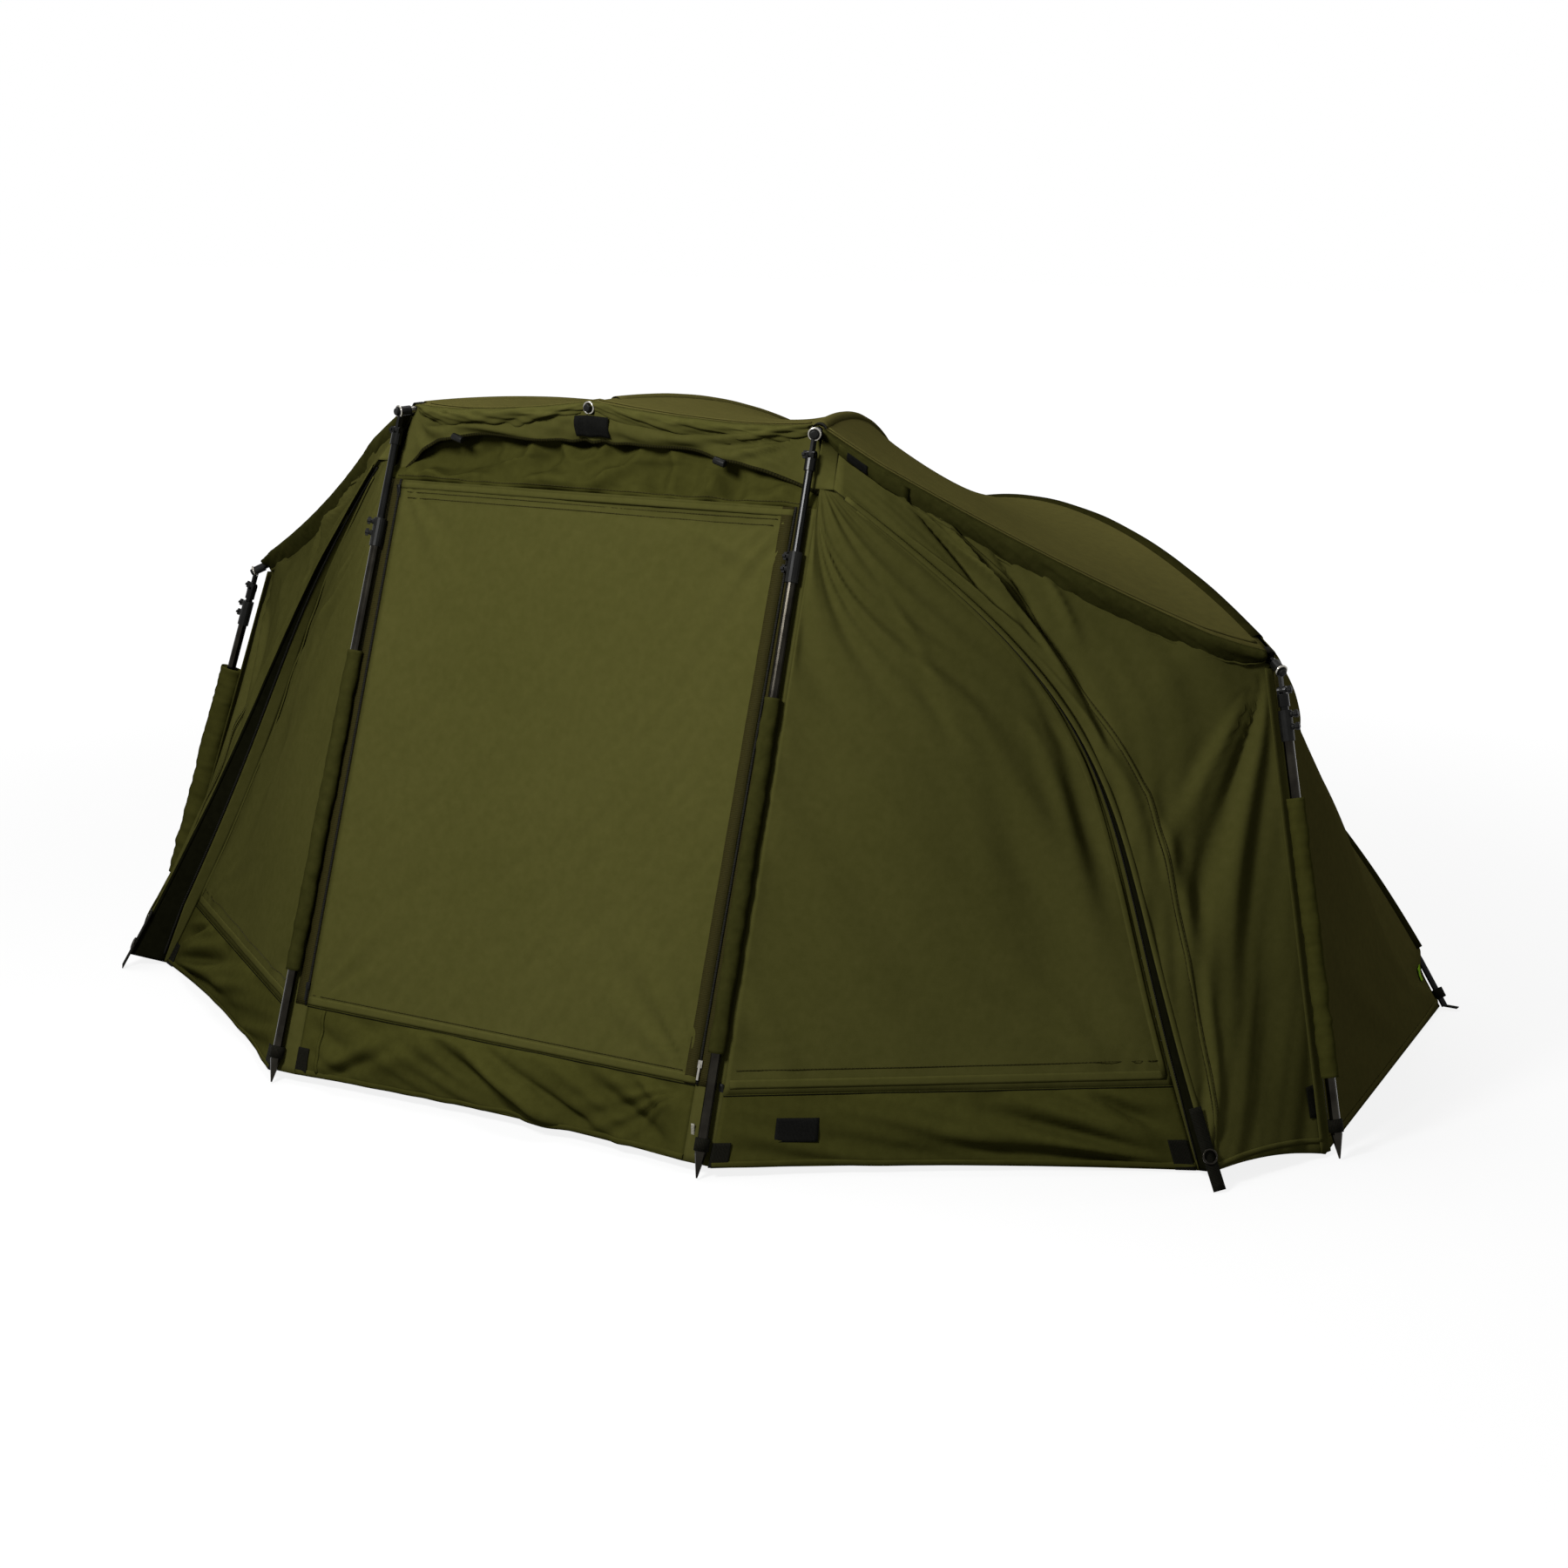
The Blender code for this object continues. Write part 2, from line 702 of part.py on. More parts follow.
def build_sheet(name, point_at, columns, rows, outward, inside=False, pivot=None):
    """A grid shaped by a function of two shares, then given the cloth's thickness on one side."""
    pivot = pivot or Vector()
    shape = bmesh.new()
    bmesh.ops.create_grid(shape, x_segments=columns, y_segments=rows, size=0.5)
    for corner in shape.verts:
        corner.co = point_at(corner.co.x + 0.5, corner.co.y + 0.5) - pivot
    shape.normal_update()
    facing = sum((face.normal * face.calc_area() for face in shape.faces), Vector())
    if facing.dot(outward) < 0.0:
        bmesh.ops.reverse_faces(shape, faces=shape.faces)
    mesh = bpy.data.meshes.new(name)
    shape.to_mesh(mesh)
    shape.free()
    mesh.shade_smooth()
    item = add_object(name, mesh, cloth_material(name + "_cloth"), Matrix.Translation(pivot))
    skin = item.modifiers.new("cloth", "SOLIDIFY")
    skin.thickness = CLOTH
    skin.offset = -1.0 if inside else 1.0
    return item


def fold_wave(count, across, along, slant=0.0):
    """Folds that fade out at all four edges of a panel, and run aslant by a share of its width."""
    fade = math.sin(math.pi * across) * math.sin(math.pi * along)
    return math.sin(2.0 * math.pi * count * (across + slant * along)) * fade


def between_ribs(first, second, across, along, sag_share):
    """A point of a roof panel: round the hub like a cone, and pulled straight at its free edge."""
    straight = first.lerp(second, across)
    radii = [horizontal(point - HUB).length for point in (first, second)]
    angles = [math.atan2(point.x, HUB_Y - point.y) for point in (first, second)]
    if abs(angles[1] - angles[0]) > math.pi:
        angles = [angle % (2.0 * math.pi) for angle in angles]
    radius = radii[0] + (radii[1] - radii[0]) * across
    angle = angles[0] + (angles[1] - angles[0]) * across
    round_point = Vector((radius * math.sin(angle), HUB_Y - radius * math.cos(angle), straight.z))
    point = round_point.lerp(straight, smooth_step(along))
    chord = second - first
    outward = UP.lerp(horizontal(point - HUB).normalized(), along / 2.0)
    outward -= chord * (outward.dot(chord) / chord.length_squared)
    inward = -outward.normalized()
    return point + inward * (chord.length * sag_share * hump(across))


def panel_edge(rib, toward, along, end_share):
    """The line that a roof panel's edge follows, just above its rib."""
    start = roof_start(rib)
    share = start + (end_share - start) * along
    turn = 1.0 if rib.side.dot(toward) > 0.0 else -1.0
    beside = VALLEY_GAP if "rear" in rib.name else PANEL_GAP
    return rib.above(share, turn * beside)


def edge_reach(first, second, across, along, whole):
    """Draws a roof panel's front edge out to the line between the rib tips, clear of the ribs."""
    reach = (first.tip - first.point(EDGE_SHARE)).lerp(second.tip - second.point(EDGE_SHARE), across)
    return reach * (min(1.0, 2.0 * hump(whole)) * along ** 4)


def front_roof_point(across, along):
    """The roof panel over the front rib, from one inner rib to the other."""
    half = across * 2.0
    sag = FRONT_SAG_SHARE + (EDGE_SAG_SHARE - FRONT_SAG_SHARE) * along ** 4
    middle = RIBS["front_centre"]
    if half <= 1.0:
        first = panel_edge(RIBS["inner_left"], RIGHT, along, EDGE_SHARE)
        second = panel_edge(middle, -RIGHT, along, EDGE_SHARE)
        second.x = 0.0
        reach = edge_reach(RIBS["inner_left"], middle, half, along, across)
        return between_ribs(first, second, half, along, sag) + reach
    first = panel_edge(middle, RIGHT, along, EDGE_SHARE)
    first.x = 0.0
    second = panel_edge(RIBS["inner_right"], -RIGHT, along, EDGE_SHARE)
    reach = edge_reach(middle, RIBS["inner_right"], half - 1.0, along, across)
    return between_ribs(first, second, half - 1.0, along, sag) + reach


def corner_roof_point(across, along):
    """The right roof panel between the inner rib and the outer rib."""
    inner = RIBS["inner_right"]
    outer = RIBS["outer_right"]
    first = panel_edge(inner, outer.along, along, EDGE_SHARE)
    second = panel_edge(outer, inner.along, along, EDGE_SHARE)
    reach = edge_reach(inner, outer, across, along, across)
    sag = CORNER_SAG_SHARE + (EDGE_SAG_SHARE - CORNER_SAG_SHARE) * along ** 4
    return between_ribs(first, second, across, along, sag) + reach


def edge_drop(across):
    """How far a wall panel stays below the roof's edge: close to it, but lower to pass a rib."""
    under_rib = 2.0 * RIBS["inner_right"].clear
    return CLOTH + CLOTH_GAP + under_rib * (1.0 - min(1.0, 2.0 * hump(across)))


def outward_at_pole():
    """The level direction that faces out of the tent at the right outer pole."""
    foot = Vector((OUTER_FOOT_X, OUTER_FOOT_Y, 0.0))
    wing = foot - Vector((PEG_X, PEG_Y, 0.0))
    side = Vector((REAR_FOOT_X, REAR_FOOT_Y, 0.0)) - foot
    return (wing.normalized().cross(UP) + side.normalized().cross(UP)).normalized()


def pole_seam(along):
    """The seam beside the right outer pole, from under the rib's end down to the ground."""
    rib = RIBS["outer_right"]
    top = rib.point(EDGE_SHARE) - UP * (rib.clear + CLOTH)
    foot = Vector((OUTER_FOOT_X, OUTER_FOOT_Y, HEM_LIFT))
    return top.lerp(foot - outward_at_pole() * SEAM_INSET, along)


# The row of the side panel at which its front edge turns down from the rib to the pole
KNEE_SHARE = ROOF_ROWS / GROUND_ROWS


def side_panel_edge(along):
    """The front edge of the side panel: over the outer rib, then down behind the outer pole."""
    rib = RIBS["outer_right"]
    turn = 1.0 if rib.side.dot(RIBS["rear_right"].along) > 0.0 else -1.0
    if along <= KNEE_SHARE:
        start = roof_start(rib)
        share = start + (EDGE_SHARE - start) * along / KNEE_SHARE
        beside = PANEL_GAP + (SEAM_BESIDE_RIB - PANEL_GAP) * smooth_step(along / KNEE_SHARE) ** 2
        return rib.above(share, turn * beside)
    down = (along - KNEE_SHARE) / (1.0 - KNEE_SHARE)
    beside = SEAM_BESIDE_RIB * (1.0 - down) + CLOTH_GAP
    return pole_seam(down) + rib.side * (turn * beside)


def ground_hem(point, across, along, edge_height):
    """Draws a panel's free edge down to the ground between its ribs."""
    drop = (edge_height - HEM_LIFT) * along ** 6 * min(1.0, 2.0 * hump(across))
    return Vector((point.x, point.y, max(point.z - drop, HEM_LIFT)))


def side_roof_point(across, along):
    """The right side panel, with a tight crease from the outer pole's tip to the rear rib's foot."""
    rear = RIBS["rear_right"]
    first = side_panel_edge(along)
    second = panel_edge(rear, RIBS["outer_right"].along, along, 1.0)
    if along <= KNEE_SHARE:
        return between_ribs(first, second, across, along, ROOF_SAG_SHARE * (1.0 - along / KNEE_SHARE))
    down = (along - KNEE_SHARE) / (1.0 - KNEE_SHARE)
    corner = side_panel_edge(KNEE_SHARE)
    foot = panel_edge(rear, RIBS["outer_right"].along, 1.0, 1.0)
    inward = Vector((-(foot - corner).length * CREASE_SAG_SHARE * hump(down), 0.0, 0.0))
    crease = corner.lerp(foot, down) + inward
    if across <= down:
        point = first.lerp(crease, across / down)
    else:
        point = crease.lerp(second, (across - down) / (1.0 - down))
    return ground_hem(point, across, along, second.z)


def rear_roof_point(across, along):
    """The right rear panel between the rear rib and the back rib."""
    rear = RIBS["rear_right"]
    back = RIBS["back_right"]
    first = panel_edge(rear, back.along, along, 1.0)
    second = panel_edge(back, rear.along, along, 1.0)
    sag = ROOF_SAG_SHARE * (1.0 - along ** 4)
    point = between_ribs(first, second, across, along, sag)
    return ground_hem(point, across, along, second.z)


def back_roof_point(across, along):
    """The back panel between the two back ribs."""
    first = panel_edge(RIBS["back_right"], -RIGHT, along, 1.0)
    second = panel_edge(RIBS["back_left"], RIGHT, along, 1.0)
    sag = ROOF_SAG_SHARE * (1.0 - along ** 4)
    point = between_ribs(first, second, across, along, sag)
    return ground_hem(point, across, along, second.z)


def front_plane_y(height):
    return FRONT_LEAN * height + POLE_TO_CLOTH


def wall_outward():
    """The direction that the leaning front wall faces."""
    return Vector((0.0, -1.0, FRONT_LEAN)).normalized()


def strip_edge_x(height):
    """The outer edge of the strip behind the right inner pole."""
    return INNER_FOOT_X + (INNER_TIP_X - INNER_FOOT_X) * height / INNER_TIP_Z + STRIP_REACH


def flap_edge(along):
    """The right wing's free front edge: a curve from beside the inner pole down to its peg."""
    start = Vector((strip_edge_x(FLAP_TOP_Z) + FLAP_START_REACH, front_plane_y(FLAP_TOP_Z), FLAP_TOP_Z))
    end = Vector((PEG_X, PEG_Y, HEM_LIFT))
    guides = []
    for share_x, share_y, share_z in (FLAP_FIRST_SHARES, FLAP_SECOND_SHARES):
        x = start.x + (end.x - start.x) * share_x
        guides.append(Vector((x, OUTER_TIP_Y * share_y, start.z * share_z)))
    rest = 1.0 - along
    point = start * rest ** 3 + guides[0] * (3.0 * along * rest ** 2)
    return point + guides[1] * (3.0 * along ** 2 * rest) + end * along ** 3


def zip_edge(along):
    """The curved zip, set back behind the flap's edge by a strip that widens downward."""
    width = RETURN_TOP + (RETURN_BOTTOM - RETURN_TOP) * along
    return flap_edge(along) + Vector((-1.0, 1.0, 0.0)).normalized() * width


def zip_share_in_step(along):
    """Where a row of the wing meets the zip, in step with the rows of the door and the skirt."""
    seam = DOOR_ROWS / (DOOR_ROWS + SKIRT_ROWS)
    low = zip_share_at(SIDE_SEAM_Z)
    if along <= seam:
        return low * along / seam
    return low + (1.0 - low) * (along - seam) / (1.0 - seam)


def wing_rim(along):
    """The wing's outer border: under the roof's edge, then down the seam at the outer pole."""
    if along <= 0.5:
        first_share = 2.0 * STRIP_REACH / (OUTER_TIP_X - INNER_TIP_X)
        across = first_share + (1.0 - first_share) * 2.0 * along
        return corner_roof_point(across, 1.0) - UP * edge_drop(across)
    return pole_seam(2.0 * along - 1.0)


def wing_point(across, along):
    """The right wing: the strip from zip to flap edge, then the panel out to the outer pole."""
    fold = FOLD_COLUMN / WING_COLUMNS
    share = zip_share_in_step(along)
    if across <= fold:
        return zip_edge(share).lerp(flap_edge(share), across / fold)
    out = (across - fold) / (1.0 - fold)
    point = flap_edge(share).lerp(wing_rim(along), out)
    inward = outward_at_pole() * -1.0
    depth = WING_SAG * hump(out) * math.sin(math.pi * along)
    rise = UP * (WING_HEM_RISE * hump(out) * along ** 6)
    return point + rise + inward * (depth + WING_FOLD * fold_wave(WING_FOLDS, out, along, WING_SLANT_SHARE))


def zip_share_at(height):
    low, high = 0.0, 1.0
    for _ in range(40):
        middle = (low + high) / 2.0
        if zip_edge(middle).z > height:
            low = middle
        else:
            high = middle
    return low


def side_front_point(across, zip_share):
    """A point between the strip behind the inner pole and the curved zip, at the zip's height."""
    right = zip_edge(zip_share)
    height = right.z
    left = Vector((strip_edge_x(height) + CLOTH_GAP, front_plane_y(height), height))
    toward = (left - right).normalized()
    return left.lerp(right + toward * CLOTH_GAP, across)


def side_outward():
    """The level direction that the right side door faces."""
    along = side_front_point(1.0, 1.0) - side_front_point(0.0, 1.0)
    return along.normalized().cross(UP)


# The side door's width at its foot
SIDE_DOOR_WIDTH = (side_front_point(1.0, 1.0) - side_front_point(0.0, 1.0)).length


def side_door_point(across, along):
    share = zip_share_at(SIDE_SEAM_Z) * (1.0 - along)
    point = side_front_point(across, share)
    width = (side_front_point(1.0, share) - side_front_point(0.0, share)).length
    bulge = DOOR_BULGE * math.sin(math.pi * across) ** 2 * math.sin(math.pi * along)
    wave = SIDE_FOLD * fold_wave(SIDE_FOLDS, across, along, DOOR_SLANT_SHARE)
    return point + side_outward() * ((bulge + wave) * width / SIDE_DOOR_WIDTH)


def side_skirt_point(across, along):
    low = zip_share_at(SIDE_SEAM_Z - CLOTH_GAP)
    share = 1.0 + (low - 1.0) * along
    point = side_front_point(across, share)
    wave = SKIRT_FOLD * fold_wave(SIDE_FOLDS, across, along, SKIRT_SLANT_SHARE)
    reach = SIDE_SKIRT_REACH * hump(across) * (1.0 - along) ** 2
    rise = (FRONT_HEM_LIFT - HEM_LIFT) * (1.0 - across) * (1.0 - along) ** 2
    return point + side_outward() * (wave + reach) + UP * rise


def mirror_sheet(point_at):
    def mirrored_point(across, along):
        return mirrored(point_at(across, along))
    return mirrored_point


def header_point(across, along):
    """The fixed panel above the front door, up to just under the ribs."""
    edge_x = strip_edge_x(DOOR_TOP_Z)
    low = Vector((edge_x * (2.0 * across - 1.0), front_plane_y(DOOR_TOP_Z), DOOR_TOP_Z + CLOTH_GAP))
    high = front_roof_point(across, 1.0) - UP * edge_drop(2.0 * across % 1.0)
    return low.lerp(high, along)


def front_door_point(across, along):
    height = DOOR_BOTTOM_Z + (DOOR_TOP_Z - DOOR_BOTTOM_Z) * along
    wave = DOOR_FOLD * fold_wave(FRONT_DOOR_FOLDS, across, along, DOOR_SLANT_SHARE)
    x = DOOR_HALF_WIDTH * (2.0 * across - 1.0)
    return Vector((x, front_plane_y(height) - wave, height))


def front_skirt_point(across, along):
    height = FRONT_HEM_LIFT + (DOOR_BOTTOM_Z - CLOTH_GAP - FRONT_HEM_LIFT) * along
    wave = SKIRT_FOLD * fold_wave(FRONT_SKIRT_FOLDS, across, along, SKIRT_SLANT_SHARE)
    tuck = SKIRT_TUCK * hump(across) * (1.0 - along) ** 2
    x = DOOR_HALF_WIDTH * (2.0 * across - 1.0)
    return Vector((x, front_plane_y(height) - wave + tuck, height))


def strip_point(across, along):
    """The right strip between the two doors' zips, behind the inner pole."""
    height = FRONT_HEM_LIFT + (DOOR_TOP_Z - FRONT_HEM_LIFT) * along
    low = DOOR_HALF_WIDTH + CLOTH_GAP
    x = low + (strip_edge_x(height) - low) * across
    return Vector((x, front_plane_y(height), height))


def build_cloth():
    build_sheet("roof_front", front_roof_point, 2 * ROOF_COLUMNS, ROOF_ROWS, UP)
    build_sheet("roof_back", back_roof_point, ROOF_COLUMNS, GROUND_ROWS, UP - FRONT)
    door_foot = side_door_point(0.0, 0.0) + side_outward() * CLOTH
    wing_rows = DOOR_ROWS + SKIRT_ROWS
    for name, point_at, columns, rows, outward, inside, pivot in (
        ("roof_corner", corner_roof_point, ROOF_COLUMNS, ROOF_ROWS, UP, False, Vector()),
        ("roof_side", side_roof_point, ROOF_COLUMNS, GROUND_ROWS, RIGHT + UP, False, Vector()),
        ("roof_rear", rear_roof_point, ROOF_COLUMNS, GROUND_ROWS, RIGHT + UP - FRONT, False, Vector()),
        ("wing", wing_point, WING_COLUMNS, wing_rows, RIGHT + FRONT, True, Vector()),
        ("side_door", side_door_point, DOOR_COLUMNS, DOOR_ROWS, RIGHT + FRONT, False, door_foot),
        ("side_skirt", side_skirt_point, DOOR_COLUMNS, SKIRT_ROWS, RIGHT + FRONT, False, Vector()),
        ("front_strip", strip_point, 1, STRIP_ROWS, FRONT, False, Vector()),
    ):
        build_sheet(name + "_right", point_at, columns, rows, outward, inside, pivot)
        other = mirror_sheet(point_at)
        build_sheet(name + "_left", other, columns, rows, mirrored(outward), inside, mirrored(pivot))
    build_sheet("front_header", header_point, 2 * ROOF_COLUMNS, HEADER_ROWS, FRONT)
    door_head = Vector((0.0, front_plane_y(DOOR_TOP_Z), DOOR_TOP_Z)) + wall_outward() * CLOTH
    build_sheet("front_door", front_door_point, DOOR_COLUMNS, FRONT_DOOR_ROWS, FRONT, False, door_head)
    build_sheet("front_skirt", front_skirt_point, 2 * DOOR_COLUMNS, SKIRT_ROWS, FRONT)


def build_zip_sliders():
    """A slider and its pull tab on each front zip, closed at the door's foot."""
    half = SLIDER_WIDTH / 2.0
    body = block_mesh("slider", (-half, 0.0, 0.0), (half, SLIDER_THICKNESS, SLIDER_LENGTH))
    tab_half = half / 2.0
    tab_top = SLIDER_LENGTH / 2.0
    tab = block_mesh(
        "tab",
        (-tab_half, SLIDER_THICKNESS / 2.0, tab_top - TAB_LENGTH),
        (tab_half, SLIDER_THICKNESS + TAB_PROUD, tab_top),
    )
    mesh = joined_mesh("zip_slider", body, (tab,), ())
    height = DOOR_BOTTOM_Z + SLIDER_RISE
    face = wall_outward()
    for key, side in (("right", 1.0), ("left", -1.0)):
        x = side * (DOOR_HALF_WIDTH + CLOTH_GAP + half)
        place = Vector((x, front_plane_y(height), height)) + face * (CLOTH + GAP)
        slope = Vector((0.0, FRONT_LEAN, 1.0))
        matrix = frame_matrix(place, slope, -RIGHT)
        name = "zip_slider_" + key
        add_object(name, mesh.copy(), black_metal(name + "_nickel"), matrix)


def build_tent():
    for key in RIBS:
        build_rib(key)
    build_hub()
    build_poles()
    build_zip_sliders()
    build_cloth()


build_tent()
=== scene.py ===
"""Looks of the bivvy tent: its sewn cover with folds, hems and zips, sleeves, eyelets and pegging loops."""

import math

import bmesh
import bpy
from mathutils import Matrix, Vector, noise


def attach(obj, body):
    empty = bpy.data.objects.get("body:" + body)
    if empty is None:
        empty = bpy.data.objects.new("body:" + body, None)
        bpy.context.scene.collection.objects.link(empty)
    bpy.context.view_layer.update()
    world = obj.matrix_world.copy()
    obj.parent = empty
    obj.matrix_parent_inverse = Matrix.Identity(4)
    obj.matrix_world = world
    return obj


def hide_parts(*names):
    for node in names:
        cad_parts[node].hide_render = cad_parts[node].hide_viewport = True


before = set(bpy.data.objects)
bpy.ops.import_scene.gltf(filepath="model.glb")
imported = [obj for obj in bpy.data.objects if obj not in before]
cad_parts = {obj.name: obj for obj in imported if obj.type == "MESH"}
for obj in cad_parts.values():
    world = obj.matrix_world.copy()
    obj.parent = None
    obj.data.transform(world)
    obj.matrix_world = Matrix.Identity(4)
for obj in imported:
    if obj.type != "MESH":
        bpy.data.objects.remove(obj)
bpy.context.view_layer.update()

# Places of the frame, in metres. X is right seen from the front, Y runs into the tent from the inner feet
INNER_FOOT = Vector((0.513, 0.0, 0.0))
INNER_TIP = Vector((0.493, 0.457, 1.320))
OUTER_FOOT = Vector((1.489, 0.702, 0.0))
OUTER_TIP = Vector((1.274, 0.857, 0.884))
FRONT_TIP = Vector((0.0, 0.439, 1.350))
REAR_FOOT = Vector((1.376, 1.712, 0.007))
BACK_FOOT = Vector((0.660, 2.500, 0.007))
HUB = Vector((0.0, 1.780, 0.980))
HUB_TILT_SHARE = 0.45
FRONT_BOW = 0.109
INNER_BOW = 0.112
OUTER_BOW = 0.156
REAR_BOW = 0.181
BACK_BOW = 0.200
RIB_RADIUS = 0.007
ROOF_LIFT = 0.0115
FOOT_DIP = 0.024
FOOT_BARE_SHARE = 0.925
CROWN_RADIUS = 0.052
CROWN_PATCH_RADIUS = 0.105
CROWN_PATCH_HEIGHT = 0.042
CROWN_PATCH_STEP = 0.026
CROWN_PATCH_DROP = 0.012

# Light and floor. LAMP_WATTS light a white surface fully from a metre away
AMBIENT = 0.15
LAMP_WATTS = 9.87
FLOOR_SIZE = 80.0
FLOOR_DROP = 0.003
FLOOR_SHADE = 0.2
FLOOR_GLOW = 1.04
FLOOR_GLOW_SHARE = 0.82
GLOW_NEAR = 1.6
GLOW_FAR = 4.5

# The photograph's camera
CAMERA_PLACE = (2.970, -5.0315, 1.768)
CAMERA_DOWN_DEGREES = 12.85
CAMERA_TURN_DEGREES = 31.0
LENS_MM = 60.0
SENSOR_MM = 36.0

# The cover's edges and seams
POLE_TO_CLOTH = 0.0160
STRIP_REACH = 0.0200
DOOR_HALF_WIDTH = 0.4680
DOOR_TOP_Z = 1.1840
DOOR_BOTTOM_Z = 0.1520
SIDE_SEAM_Z = 0.1440
FLAP_TOP_Z = 1.2200
FLAP_START_REACH = 0.0300
PEG = Vector((1.355, 0.437, 0.0015))
RETURN_TOP = 0.012
RETURN_BOTTOM = 0.098
SEAM_INSET = 0.030
SEAM_BESIDE_RIB = 0.010
HEM_LIFT = 0.0015
FRONT_HEM_LIFT = 0.018
WING_HEM_RISE = 0.014
SKIRT_TUCK = 0.025
SIDE_SKIRT_TUCK = 0.020
SKIRT_BULGE = 0.010
DOOR_BULGE = 0.035
WING_SAG = 0.020
ARCH_TOP_Z = 1.277
ARCH_LEFT_DROP = 0.090
ARCH_RIGHT_DROP = 0.060
PEAK_BULGE = 0.016
PEAK_END_SETBACK = 0.013
HEADER_SETBACK = 0.026
CORNER_LIP_HEIGHT = 0.058
FRONT_LIP_HEIGHT = 0.040
LIP_END_HEIGHT = 0.022
LIP_BULGE = 0.009
LIP_TUCK = 0.004
RIB_SLEEVE_RADIUS = 0.0150
WIDE_RIB_SLEEVE_RADIUS = 0.0175
INNER_SLEEVE_HALF_WIDTH = 0.0165
OUTER_SLEEVE_HALF_WIDTHS = {"right": 0.0170, "left": 0.0260}
SHOULDER_INSET = 0.012
SIDE_PULL_Z = 0.162
SIDE_PULL_EDGE_Z = 0.160
SIDE_PULL_INSET = 0.006
CLOTH = 0.0010

# Trim
SEWN_OVER = 0.0008
ZIP_BESIDE_DOOR = 0.004
ZIP_TAPE_BESIDE_COIL = 0.012
WEBBING_THICKNESS = 0.0020
PATCH_THICKNESS = 0.0012
PATCH_CLEAR = 0.002
EYELET_RADIUS = 0.0110
EYELET_WIRE = 0.0022
EYELET_REACH = 0.006
FRONT_EYELET_REACH = 0.014
TIP_CAP_RADIUS = 0.0075
TIP_CAP_LENGTH = 0.008
TIP_CAP_GAP = 0.005
TOGGLE_RADIUS = 0.0075
TOGGLE_LENGTH = 0.026
PEG_RING_RADIUS = 0.0130
PEG_RING_WIRE = 0.0020
PEG_RING_OUT = 0.008
FOOT_BAND_RISE = 0.062
FOOT_LOOP_REACH = 0.030
FOOT_LOOP_DROP = 0.004

# Shares of other sizes
EDGE_SHARE = 0.975
EDGE_SAG_SHARE = 0.030
FRONT_SAG_SHARE = 0.120
CORNER_SAG_SHARE = 0.105
ROOF_SAG_SHARE = 0.045
CREASE_SAG_SHARE = 0.004
FLAP_FIRST_SHARES = (0.70, 0.82, 0.615)
FLAP_SECOND_SHARES = (0.56, 0.72, 0.56)
KNEE_SHARE = 0.625
PEG_STRAP_SHARE = 0.014
STRAP_START_SHARE = 0.93
STRAP_RING_SHARE = 0.60
SIDE_SEAM_SHARE = 14.0 / 18.0
LIP_MARGIN_SHARE = 0.012
SLEEVE_DEPTH_SHARE = 0.84
SLEEVE_START_SHARE = 0.08
SLEEVE_END_SHARES = {"front": 0.945, "inner": 0.962, "outer": 0.945, "rear": 0.925, "back": 0.925}
POLE_SLEEVE_START_SHARE = 0.165
TIP_BAND_SHARE = 0.972
FOOT_BAND_SHARE = 0.985
STUD_ROUND_SHARE = 0.25
STITCH_SHIFT_SHARE = 0.014
PATCH_GIVE_SHARE = 0.4
RIB_SLEEVE_PUFF_SHARE = 0.06
POLE_SLEEVE_PUFF_SHARE = 0.13
POLE_SLEEVE_PINCH_SHARE = 0.08
PEG_TURN_SHARE = 0.35
WING_SEAM_SHARES = ((0.86, 0.03), (0.63, 0.195), (0.40, 0.262), (0.262, 0.345), (0.216, 0.48),
                    (0.225, 0.598), (0.20, 0.726), (0.098, 0.892), (0.05, 0.96))

RIGHT = Vector((1.0, 0.0, 0.0))
FRONT = Vector((0.0, -1.0, 0.0))
UP = Vector((0.0, 0.0, 1.0))
FRONT_LEAN = INNER_TIP.y / INNER_TIP.z
WALL_OUT = Vector((0.0, -1.0, FRONT_LEAN)).normalized()
SHIFT = Vector((0.0, -(BACK_FOOT.y + RIB_RADIUS) / 2.0, 0.0))
MERGE = 0.00005
# Each side's key, with what turns a place of the right half into one of that side
SIDES = (("right", Vector((1.0, 1.0, 1.0))), ("left", Vector((-1.0, 1.0, 1.0))))


def smooth_step(share):
    share = min(max(share, 0.0), 1.0)
    return share * share * (3.0 - 2.0 * share)


def hump(share):
    return 4.0 * share * (1.0 - share)


def level(vector):
    return Vector((vector.x, vector.y, 0.0))


def mirrored(point):
    return Vector((-point.x, point.y, point.z))


# Materials

# A wave texture's scale at which one band is one unit wide
UNIT_WAVE = math.pi / 10.0
THREAD_WIDTH = 0.0020
# How many of a pattern's marks lie along a metre of the surface
TONES = 2.6
SPECKS = 60.0
DENTS = 9.0
DRAWN_LINES = (600.0, 600.0, 12.0)
METAL_WEAR = 30.0
PLASTIC_WEAR = 45.0
GRAINS = 900.0
FUZZ = 240.0
# Where a tone leaves the dark colour and where it reaches the light one
TONE_STOPS = (0.3, 0.7)


def srgb(code):
    """The linear colour of an sRGB hex code."""
    channels = [int(code[place:place + 2], 16) / 255.0 for place in (1, 3, 5)]
    return [c / 12.92 if c <= 0.04045 else ((c + 0.055) / 1.055) ** 2.4 for c in channels] + [1.0]


def set_sockets(node, values):
    """Sets a node's sockets, or links them from (node, output) pairs."""
    for key, value in values.items():
        if isinstance(value, tuple) and isinstance(value[0], bpy.types.Node):
            node.id_data.links.new(value[0].outputs[value[1]], node.inputs[key])
        else:
            node.inputs[key].default_value = value


